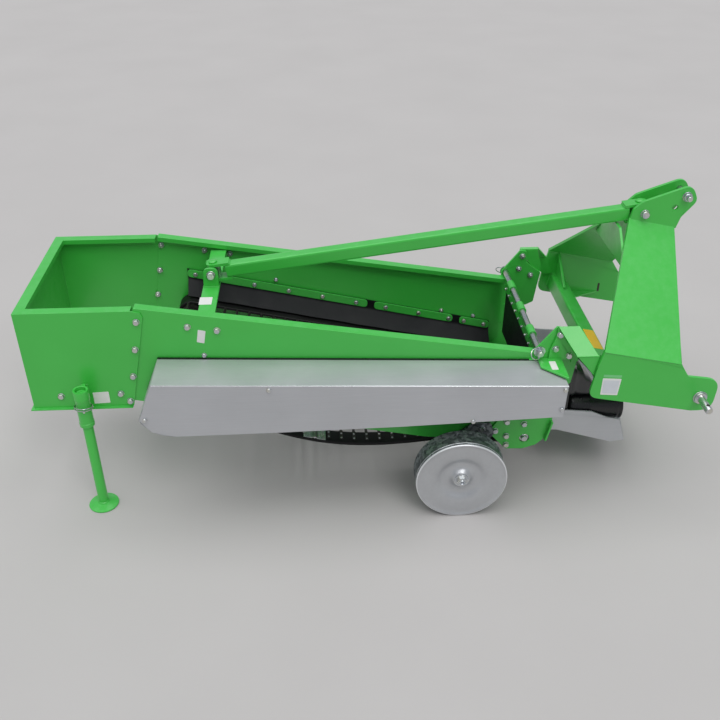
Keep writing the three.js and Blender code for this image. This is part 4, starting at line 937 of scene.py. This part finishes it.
# Hanging curtain: x bows by wave * (0.6 * sin(3 pi u + 0.6) - 0.2) * v squared, u across and v down.
def buildCurtain():
    u, v = np.meshgrid(np.linspace(0, 1, 61), np.linspace(0, 1, 25), indexing="ij")
    height = curtain["top"] - curtain["bottom"]
    x = curtain["x"] + curtain["wave"] * v ** 2 * (np.sin(2 * np.pi * u * 1.5 + 0.6) * 0.6 - 0.2)
    points = np.stack([x, (u - 0.5) * curtain["width"], curtain["top"] - v * height], -1)
    shape = sheetBlock(points, np.array([1.0, 0, 0]), curtain["sheet"] / 2)
    piece = makePiece("curtainRubber", [shape], "rubber", "curtain", sharp=50)
    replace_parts(piece, "rubber_curtain")
    across = np.linspace(-curtain["studY"], curtain["studY"], curtain["studs"])
    heads, nuts = ([(x, y, curtain["studZ"]) for y in across] for x in (curtain["headX"], curtain["nutX"]))
    studs = makePiece("curtainStuds", [copies(hexHead(8, 4.2, 6.4, 1.2), heads, (-1, 0, 0)),
                                       copies(hexNut(8, 4.5, 2.4, 6.5, 6.4), nuts, (1, 0, 0))],
                      "bright", "curtain")


# Flap: a flat lap behind the strip, a bend (tilt = 48 degrees * b * b * (3 - 2 * b), b from 0 to 1 down it)
# and a fall inwards to a softly curling free edge that ripples.
def buildFlap(side):
    u, v = np.meshgrid(np.linspace(0, 1, 241), np.linspace(0, 1, 31), indexing="ij")
    length = flap["front"] - flap["rear"]
    drop = flap["lap"] + flap["reach"]
    x = flap["rear"] + u * length
    s = v * drop  # length down the sheet from its upper edge
    bend = np.clip((s - flap["bendStart"]) / flap["bendLength"], 0, 1)
    tilt = np.radians(90 - flap["tilt"]) * bend ** 2 * (3 - 2 * bend)  # angle in from the upright
    tilt = tilt + flap["roll"] * np.clip((s - flap["rollStart"]) / (drop - flap["rollStart"]), 0, 1)
    step = s[0, 1] - s[0, 0]
    inward, down = np.cumsum(np.sin(tilt), axis=1) * step, np.cumsum(np.cos(tilt), axis=1) * step
    loose = np.clip((s - flap["rippleStart"]) / (drop - flap["rippleStart"]), 0, 1) ** 2
    ripple = flap["ripple"] * np.sin(2 * np.pi * u * flap["waves"] + 0.8 * np.sin(9 * u)) * loose
    y = side * (flap["outerY"] - flap["sheet"] / 2 - 0.4 - inward + ripple)
    points = np.stack([x, y, webTopZ(x) + stripRise + flap["above"] - down], -1)
    shape = sheetBlock(points, np.array([0, -side, 0.3]), flap["sheet"] / 2)
    piece = makePiece("flap" + sideName[side].title(), [shape], "rubber", sharp=50)
    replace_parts(piece, "side_flap_" + sideName[side])


buildCurtain()
for side in (-1, 1):
    buildFlap(side)
print("rubber hung")


# Cuff, shafts and the gearbox's covers. Profiles are (radius, distance forward); the cuff's radii count
# from its own, and the last rings of its outside count back from its mouth.
cuff = {
    "x": 608.0, "y": -188.0, "z": 244.0, "radius": 48.0, "length": 170.0, "bore": 31,
    "neck": [(-14, 0), (-8, 2), (-3, 7), (-1, 15), (-0.9, 62), (0.2, 65), (0.2, 70), (-0.9, 73)],
    "mouth": [(-0.8, 22), (0.6, 19), (0.6, 15), (-0.6, 12), (-0.4, 9), (1.2, 7), (1.8, 4), (1.2, 1),
              (-0.8, 0), (-3.6, 1.2), (-5, 6)],
    "inside": [(-5, 18), (-8, 9), (-14, 5)],
}
spline = {"start": 26.3, "keys": 6, "root": 15.0, "rise": 2.4,
          "groove": [(14.4, 74), (14.4, 79)], "end": [(13.5, 95), (0, 95)]}
gear = {
    "topZ": 436.0, "innerY": -136.0, "middleX": 548.0, "coverZ": 384, "boltRing": 36, "lidBolt": 36,
    "cover": [(31, 0), (38, 0), (39.5, 1.5), (39.5, 5), (38, 6.5), (33, 7), (31, 7)],
    "sideCover": [(0, 0), (42, 0), (43.5, 1.5), (43.5, 5.5), (42, 7), (0, 7)],
    "rib": [(-3, -50), (3, -50), (3, 18), (-3, 24)], "ribX": (512, 548, 584), "ribZ": 310,
    "lid": [(-44, -44), (44, -44), (44, 44), (-44, 44)],
    # the bell: x, half width, lowest and highest z
    "bell": [(600.2, 0, 350, 350), (600.2, 43, 295, 406), (612, 44, 294, 408), (616, 44, 294, 408),
             (619, 41, 296, 404), (634, 40, 296, 396), (648, 39, 296, 372), (662, 38, 296, 362),
             (672, 36, 297, 350), (680, 32, 299, 336), (684, 26, 302, 326), (685, 0, 313, 313)],
}


def buildDrive():
    r, length, bore = cuff["radius"], cuff["length"], cuff["bore"]
    origin, forward, inward, upward = (cuff["x"], cuff["y"], cuff["z"]), (1, 0, 0), (0, 1, 0), (0, 0, 1)
    profile = [(bore, 0), *[(r + a, b) for a, b in cuff["neck"]]]
    profile += [(r + a, length - b) for a, b in cuff["mouth"]]
    profile += [*[(r + a, b) for a, b in cuff["inside"]], (bore, 5)]
    shape = turned(profile, origin, forward, 96, ring=True)
    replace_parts(makePiece("driveCuff", [shape], "plastic", sharp=60), "shaft_cuff")
    # splined end: six keys, the radius stepping between root and tip
    t = np.linspace(0, 2 * np.pi, 72, endpoint=False)
    keys = spline["root"] + spline["rise"] * (np.cos(spline["keys"] * t) > 0.1)
    rings = [(0, 0), (14, 0), (14, 18), (keys, 20), (keys, 72), *spline["groove"], (keys, 81), (keys, 92)]
    start = cuff["x"] + spline["start"]
    shaft = copies(ringStack(rings + spline["end"], 72), [(start, cuff["y"], cuff["z"])], forward)
    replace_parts(makePiece("inputShaft", [shaft], "bright", sharp=30), "input_shaft")
    # gearbox: a ring where the shaft comes out, a cover on the inner side, a lid, and casting ribs
    x, y, top, inner = gear["middleX"], cuff["y"], gear["topZ"], gear["innerY"]
    cover = turned(gear["cover"], (cuff["x"] - 8, y, cuff["z"]), forward, 56, ring=True)
    sideCover = turned(gear["sideCover"], (x, inner, gear["coverZ"]), inward)
    rib = roundedCorners(gear["rib"], 1.5, 3)
    ribs = [plate(rib, (ribX, inner, gear["ribZ"]), forward, upward, -5) for ribX in gear["ribX"]]
    lid = plate(roundedCorners(gear["lid"], 10, 5), (x, y, top), forward, inward, 6, 1.2)
    makePiece("gearboxCovers", [cover, sideCover, lid, *ribs], "cast")
    # bell in front of the gearbox: rounded boxes that draw in forwards, |a / w| ** 4 + |b / h| ** 4 = 1
    t = np.linspace(0, 2 * np.pi, 48, endpoint=False)
    a, b = (np.sign(wave) * np.abs(wave) ** 0.5 for wave in (np.cos(t), np.sin(t)))
    at, wide, low, high = (column[:, None] for column in np.array(gear["bell"]).T)
    bell = np.stack([at + 0 * a, y + wide * a, (low + high) / 2 + (high - low) / 2 * b], -1)
    makePiece("driveBell", [(bell.reshape(-1, 3), gridQuads(len(bell), 48, False, True))], "cast", sharp=50)
    t = np.radians(np.arange(6) * 60 + 30)
    ring, far = gear["boltRing"], gear["lidBolt"]
    sideBolts = np.stack([x + ring * np.cos(t), np.full(6, inner + 7), gear["coverZ"] + ring * np.sin(t)], -1)
    lidBolts = [(x + a, y + b, top + 6) for a in (-far, far) for b in (-far, far)]
    head, plug = hexHead(10, 5.5, 7, 1.2), hexHead(17, 10, 12, 3)
    makePiece("gearboxBolts", [copies(head, sideBolts, inward), copies(head, lidBolts, upward),
                               copies(plug, [(556, y - 6, top + 6)], upward),
                               copies(plug, [(575, inner, 296)], inward)], "bright")


# Rods and pins: profiles are (radius, distance along), from the middle of the machine or from the pin's own.
crossRod = {
    "x": 484, "z": 486, "end": 278.3, "radius": 9, "washerY": 256.9, "cotterY": 268,
    "washer": [(9.1, 0), (17, 0), (17, 2.4), (9.1, 2.4)],
    "cotter": [(0, -15), (2.0, -15), (2.4, -14), (2.4, 14), (2.0, 15), (0, 15)], "clipRadius": 16,
}
topPin = {
    "x": 927, "z": 864, "pinY": 44, "headY": -35.2, "clipRadius": 15, "clipWire": 1.6,
    "profile": [(0, -60), (6.6, -60), (8, -58.4), (8, -35.3), (9.5, -35.2), (9.5, 53.8), (8, 55.3),
                (0, 55.3)],
    "cotter": [(0, -14), (2.2, -14), (2.2, 14), (0, 14)],
}
lowerPin = {
    "x": 957, "z": 360, "beadY": 336.6, "beadRing": 19.5, "beadRadius": 1.8, "holeY": 391,
    "profile": [(0, 309), (18, 309), (18, 324.7), (11, 324.7), (11, 335.3), (18, 335.3), (19, 336.6),
                (19, 342), (18, 343.3), (12.2, 343.6), (11, 345), (11, 404), (9.2, 407), (0, 407)],
    "hole": [(0, -11.25), (5.4, -11.25), (5.4, 11.25), (0, 11.25)],
}


def buildPins():
    x, z, end, radius = (crossRod[key] for key in ("x", "z", "end", "radius"))
    half = [(0, end), (radius - 1.4, end), (radius, end - 1.6)]
    rod = [(r, -away) for r, away in half] + half[::-1]
    shapes = [turned(rod, (x, 0, z), (0, 1, 0), 32)]
    for side in (-1, 1):
        cotterY = side * crossRod["cotterY"]
        washerAt = (x, side * crossRod["washerY"], z)
        shapes.append(turned(crossRod["washer"], washerAt, (0, side, 0), 32, ring=True))
        shapes.append(turned(crossRod["cotter"], (x, cotterY, z), (0.3, 0, 1), 12))
        clipAt = (x - 13, cotterY + side * 0.5, z - 2)
        shapes.append(ringClip(clipAt, (0.35, side * 0.8, 0.55), crossRod["clipRadius"]))
    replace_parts(makePiece("crossRod", shapes, "bright"), "cross_rod")

    x, y, z = topPin["x"], topPin["pinY"], topPin["z"]
    shapes = [turned(topPin["profile"], (x, 0, z), (0, 1, 0), 32),
              ringClip((x, y, z - 15), (0.2, 1, 0), topPin["clipRadius"], topPin["clipWire"]),
              copies(hexHead(24, 12.5, 14.8, 2.4), [(x, topPin["headY"], z)], (0, -1, 0)),
              turned(topPin["cotter"], (x, y, z), (0, 0, 1), 12)]
    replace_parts(makePiece("topPin", shapes, "bright"), "top_link_pin")

    x, z = lowerPin["x"], lowerPin["z"]
    for side in (-1, 1):
        pin = turned(lowerPin["profile"], (x, 0, z), (0, side, 0), 36)
        ring = circleAt((x, side * lowerPin["beadY"], z), (0, 1, 0), lowerPin["beadRing"], 60)
        bead = swept(ring, circleProfile(lowerPin["beadRadius"], 8), closed=True, up=(0, 1, 0))
        name = "lowerPin" + sideName[side].title()
        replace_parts(makePiece(name, [pin, bead], "bright"), "lower_link_pin_" + sideName[side])
        # a dark rod through the pin's cross hole: painted shade inside the hole
        hole = turned(lowerPin["hole"], (x, side * lowerPin["holeY"], z), (0, 0, 1), 24)
        makePiece(name + "HoleShade", [hole], "dark")


# Strut: it rises 157 over 1198 from the rear yoke to the front one, which are the two ends given here.
strut = {
    "angle": math.atan2(157, 1198), "rear": (-427.0, 0, 649.0), "front": (771.0, 0, 806.0),
    "pinBeyond": 36, "pinLift": 28, "rearBolt": (-472, 32, 645), "frontBolt": (811, 35, 812),
    "cap": [(0, 0), (12.5, 0), (13, 0.8), (13, 3.6), (12, 4.8), (6, 6.6), (0, 7)],
}


def strutBolts():
    along, up = rising(strut["angle"])
    rear = np.array(strut["rear"]) - strut["pinBeyond"] * along
    front = np.array(strut["front"]) + strut["pinBeyond"] * along
    lift = strut["pinLift"] * up
    # upright pins: a low painted head on the upper plate and a painted nut under the lower one
    hexagon = hexRadius(22)
    nut = ringStack([(0, 0), (14, 0), (14, 2), (hexagon, 2), (hexagon, 8), (10, 9), (0, 9)], 12)
    makePiece("yokePins", [copies(ringStack(strut["cap"], 24), [rear + lift, front + lift], [up, up]),
                           copies(nut, [rear - lift, front - lift], [-up, -up])], "green")
    ends = [strut["rearBolt"], strut["frontBolt"]]
    head, crossNut = hexHead(22, 12, 13.6, 2.2), hexNut(22, 11, 7.6, 15, 14)
    makePiece("strutBolts", [copies(head, [(x, -y, z) for x, y, z in ends], (0, -1, 0)),
                             copies(crossNut, ends, (0, 1, 0))], "bright")


buildDrive()
buildPins()
strutBolts()
print("drive, rods and pins turned")


# Parking stand: profiles are (radius, height); the sleeve's lug is (y, z) pairs.
stand = {
    "x": -836.0, "y": -300.0,
    "foot": [(0, 1.4), (20, 1.2), (36, 0.6), (42, 0.0), (44.4, 0.6), (45, 2.4), (44, 4.2), (40, 5.2),
             (32, 7.4), (24, 9.6), (18.5, 10.8), (17.6, 12.6), (16.6, 14.6), (15.2, 15.4)],
    "tube": [(15, 17), (15, 417.5), (14, 420), (12.2, 421), (11.6, 419.4), (6.2, 419.4), (5.4, 417.6),
             (0, 417.6)],
    "sleeve": [(15.6, 306.6), (16.4, 306), (20.8, 306), (21.6, 306.8), (21.6, 318), (20.6, 319), (20.4, 362),
               (20.4, 396), (21.0, 398), (22.0, 399), (22.0, 427), (21.2, 429), (16.4, 429), (15.6, 428.4)],
    "lug": [(-279.6, 345), (-252.8, 345), (-252.8, 420), (-279.6, 420)], "lugSheet": 10,
    "weldX": (-6.5, 6.5), "weldY": (-279.0, -253.6), "weldZ": (347, 417), "weldRadius": 2.6,
    "pin": [(0, -31), (3.2, -31), (3.6, -30), (3.6, 30), (3.2, 31), (0, 31)], "pinZ": 370,
    "clipRadius": 25.5, "clipLift": (0, 5),
}


# Points of a straight line from one end to the other.
def straight(a, b, steps=12):
    return np.linspace(np.asarray(a, float), np.asarray(b, float), steps)


def buildStand():
    x, y = stand["x"], stand["y"]
    leg = turned(stand["foot"] + stand["tube"], (x, y, 0), (0, 0, 1), 56)
    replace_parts(makePiece("standLeg", [leg], "green", "stand"), "stand_leg")
    sleeve = turned(stand["sleeve"], (x, y, 0), (0, 0, 1), 56, ring=True)
    lug = plate(roundedCorners(stand["lug"], 3, 4), (x - 5, 0, 0), (0, 1, 0), (0, 0, 1), stand["lugSheet"])
    low, high = stand["weldZ"]
    beads = [weldBead(straight((x + dx, weldY, low), (x + dx, weldY, high), 40), stand["weldRadius"])
             for weldY in stand["weldY"] for dx in stand["weldX"]]
    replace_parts(makePiece("standSleeve", [sleeve, lug, *beads], "green"), "stand_sleeve")
    pin = turned(stand["pin"], (x, y, stand["pinZ"]), (0.25, -1, 0), 16)
    rings = [ringClip((x, y - 2, stand["pinZ"] - 2 + lift), (0.06, 0.16 + lift / 60, 1), stand["clipRadius"])
             for lift in stand["clipLift"]]
    makePiece("standClip", [pin, *rings], "bright")


buildStand()
print("stand built")


# ends of the guard's upper edge and its rear edge, as (x, z)
guardTop = {
    "rear": (-617.0, 497.0), "front": (542.0, 452.0), "foot": (-660.0, 390.0),
    "foldY": -388.6, "edgeY": -252.7, "foldRadius": 2.1,
    "strip": [(-4.1, -2.6), (4.1, -2.6), (4.1, 0.9), (-4.1, 0.9)],
}
# outlines in (x, z), but the gussets' in (x, y); each y is the left one's, then the right one's
braces = {
    "joint": [(471, 292), (493.5, 292), (493.5, 364), (471, 364)],
    "jointY": (247.8, -244.2), "jointSheet": 3.6,
    "tongue": [(552, 564), (588, 564), (606, 500), (602, 452), (580, 446), (580, 492), (552, 532)],
    "tongueY": (261, -255), "tongueSheet": 6,
    "gusset": [(706.8, 262), (838, 324.4), (706.8, 324.4)],
    "gussetZ": 383, "gussetDip": 0.03, "gussetSheet": 5,
    # slot: a thin dark strip on each hitch plate, painted shade in the slot
    "slot": [(839, 362), (846, 362), (846, 394), (839, 394)], "slotY": (325.2, -324.6), "slotSheet": 0.6,
}


# Guard: a rounded fold along its upper edge in pale zinc, which is a painted highlight, and black strips that
# edge its top beside the panel and behind; their black also stands for the painted shade in the gap there.
def trimGuard():
    rear, front, foot = (np.array(guardTop[key]) for key in ("rear", "front", "foot"))

    def between(a, b, y, lift=0.0):
        return flatTo3d(straight(a, b, 40), y) + [0, 0, lift]

    # the fold is a round rod of pale zinc laid along the edge: a painted highlight on the fold
    fold = swept(between(rear + [1, -1], front - [1, 0], guardTop["foldY"], -1.3),
                 circleProfile(guardTop["foldRadius"], 12))
    makePiece("guardFold", [fold], "bend")
    # black strips in the gap between the guard's top and the panel: part edging, part painted shade of the
    # gap
    strip = np.array(guardTop["strip"])
    darkGapStrips = [swept(between(rear, front - [60, -2.3], guardTop["edgeY"]), strip),
              swept(between(rear + [1, -3], foot, guardTop["edgeY"]), strip)]
    makePiece("guardEdgingAndGapShade", darkGapStrips, "plastic", sharp=30)


# Joint plates close the panel's front edge above the low plate; gussets brace the hitch plates from the beam.
def bracePlates():
    joints = [uprightPlate(braces["joint"], y, braces["jointSheet"]) for y in braces["jointY"][::-1]]
    joints += [uprightPlate(braces["tongue"], y, braces["tongueSheet"]) for y in braces["tongueY"]]
    makePiece("panelJointPlates", joints, "green")
    gussets = [plate([(a, side * b) for a, b in braces["gusset"][::side]], (0, 0, braces["gussetZ"]),
                     (1, 0, -braces["gussetDip"]), (0, 1, 0), braces["gussetSheet"]) for side in (-1, 1)]
    makePiece("hitchGussets", gussets, "green")
    # thin dark strips on the hitch plates where the gussets pass through: painted shade in the slots
    slots = [uprightPlate(braces["slot"], y, braces["slotSheet"]) for y in braces["slotY"]]
    makePiece("hitchSlotShade", slots, "dark")


trimGuard()
bracePlates()
print("guard trimmed, plates braced")


# The hitch's beam is a square tube, tilted by 12 degrees about its middle.
beam = {
    "middle": (685.0, 0, 407.0), "tilt": math.radians(-12), "half": 25, "plateY": 324.2, "gussetX": (-5, 5),
    "gussetY": 216, "cornerWeld": 2.8, "gussetWeld": 2.4,
}
# welds round the strut's yokes, and at the feet of the rear knuckle
yokeWeld = {"beyond": 12.4, "level": 21, "half": 18, "radius": 2.6}
knuckleWeld = {"x": (-497, -451), "y": (-33, -23, 23, 33), "z": 606.6, "radius": 2.2}


def layWelds():
    shapes = []
    along, over = rising(beam["tilt"])
    middle, half, radius = np.array(beam["middle"]), beam["half"], beam["gussetWeld"]
    square = [middle + (half + 0.8) * (a * along + b * over)
              for a, b in ((-1, -1), (-1, 1), (1, 1), (1, -1), (-1, -1))]
    for side in (-1, 1):
        ring = [corner + [0, side * beam["plateY"], 0] for corner in square]
        for a, b in zip(ring[:-1], ring[1:]):
            shapes.append(weldBead(straight(a, b), beam["cornerWeld"]))
        for dx in beam["gussetX"]:
            x, z = middle[0] + dx, middle[2] + half / math.cos(beam["tilt"]) + dx * math.tan(beam["tilt"])
            inner, outer = side * beam["gussetY"], side * (beam["plateY"] + 0.2)
            shapes.append(weldBead(straight((x, inner, z + 0.6), (x, outer - side * 2.4, z + 0.6)), radius))
            shapes.append(weldBead(straight((x, outer, z + 3), (x, outer, z + 80)), radius))
    run, up = rising(strut["angle"])
    for base, direction in ((strut["rear"], 1), (strut["front"], -1)):
        for level in (1, -1):
            edge = np.array(base) + run * direction * yokeWeld["beyond"] + up * level * yokeWeld["level"]
            across = np.array([0, yokeWeld["half"], 0])
            shapes.append(weldBead(straight(edge - across, edge + across), yokeWeld["radius"]))
    for y in knuckleWeld["y"]:
        ends = [(x, y, knuckleWeld["z"]) for x in knuckleWeld["x"]]
        shapes.append(weldBead(straight(*ends), knuckleWeld["radius"]))
    makePiece("weldBeads", shapes, "green")


layWelds()
print("welds laid")


# Blank labels. Upright ones: outline in (x, z), the node each lies on, and where its seat is measured.
labels = {
    "upright": [("rear_chute", (-800, 366), [(-818, 346), (-772, 348), (-772, 387), (-818, 385)]),
                ("side_panel", (-487, 562), [(-501, 545), (-480, 540), (-473, 580), (-494, 585)]),
                ("hitch_plate", (680, 410), [(656, 381), (707, 377), (711, 434), (656, 438)])],
    # level ones: outline in (x, y) and the height of the face under it
    "level": [(606.05, [(-501, -142), (-464, -142), (-464, -98), (-501, -98)]),
              (463.05, [(509, -321), (528, -321), (528, -277), (509, -277)])],
    "field": [(660, 386), (703.5, 382.5), (706.5, 428), (660, 431)], "fieldProud": 0.5, "fieldSheet": 0.25,
    "margin": [(657, 441.5), (710, 437.5), (711, 446), (657, 450.5)], "marginSheet": 0.2,
    "yellow": [(-16, -166), (19, -166), (19, -54), (-16, -54)],  # along the beam and across the machine
    "sheet": 0.5, "radius": 2.0, "gap": 0.05,
}


def stickLabels():
    def rounded(corners, radius=labels["radius"]):
        return roundedCorners(corners, radius, 4)

    white, sheet, gap = [], labels["sheet"], labels["gap"]
    for node, (x, z), corners in labels["upright"]:
        y = seatY([node], x, z, -1)
        white.append(uprightPlate(rounded(corners), y - gap, sheet))
    for z, corners in labels["level"]:
        white.append(plate(rounded(corners), (0, 0, z), (1, 0, 0), (0, 1, 0), sheet))
    makePiece("whiteLabels", white, "white", sharp=30)
    # y is still the hitch plate's
    field = uprightPlate(rounded(labels["field"]), y - labels["fieldProud"], labels["fieldSheet"])
    makePiece("labelField", [field], "grey", sharp=30)
    margin = uprightPlate(rounded(labels["margin"], 1.5), y - gap, labels["marginSheet"])
    makePiece("labelMargin", [margin], "pale", sharp=30)
    along, over = rising(beam["tilt"])
    top = np.array(beam["middle"]) + over * (beam["half"] + gap)
    yellow = plate(rounded(labels["yellow"]), top, along, (0, 1, 0), sheet)
    makePiece("yellowLabel", [yellow], "yellow", sharp=30)


stickLabels()
print("labels stuck")
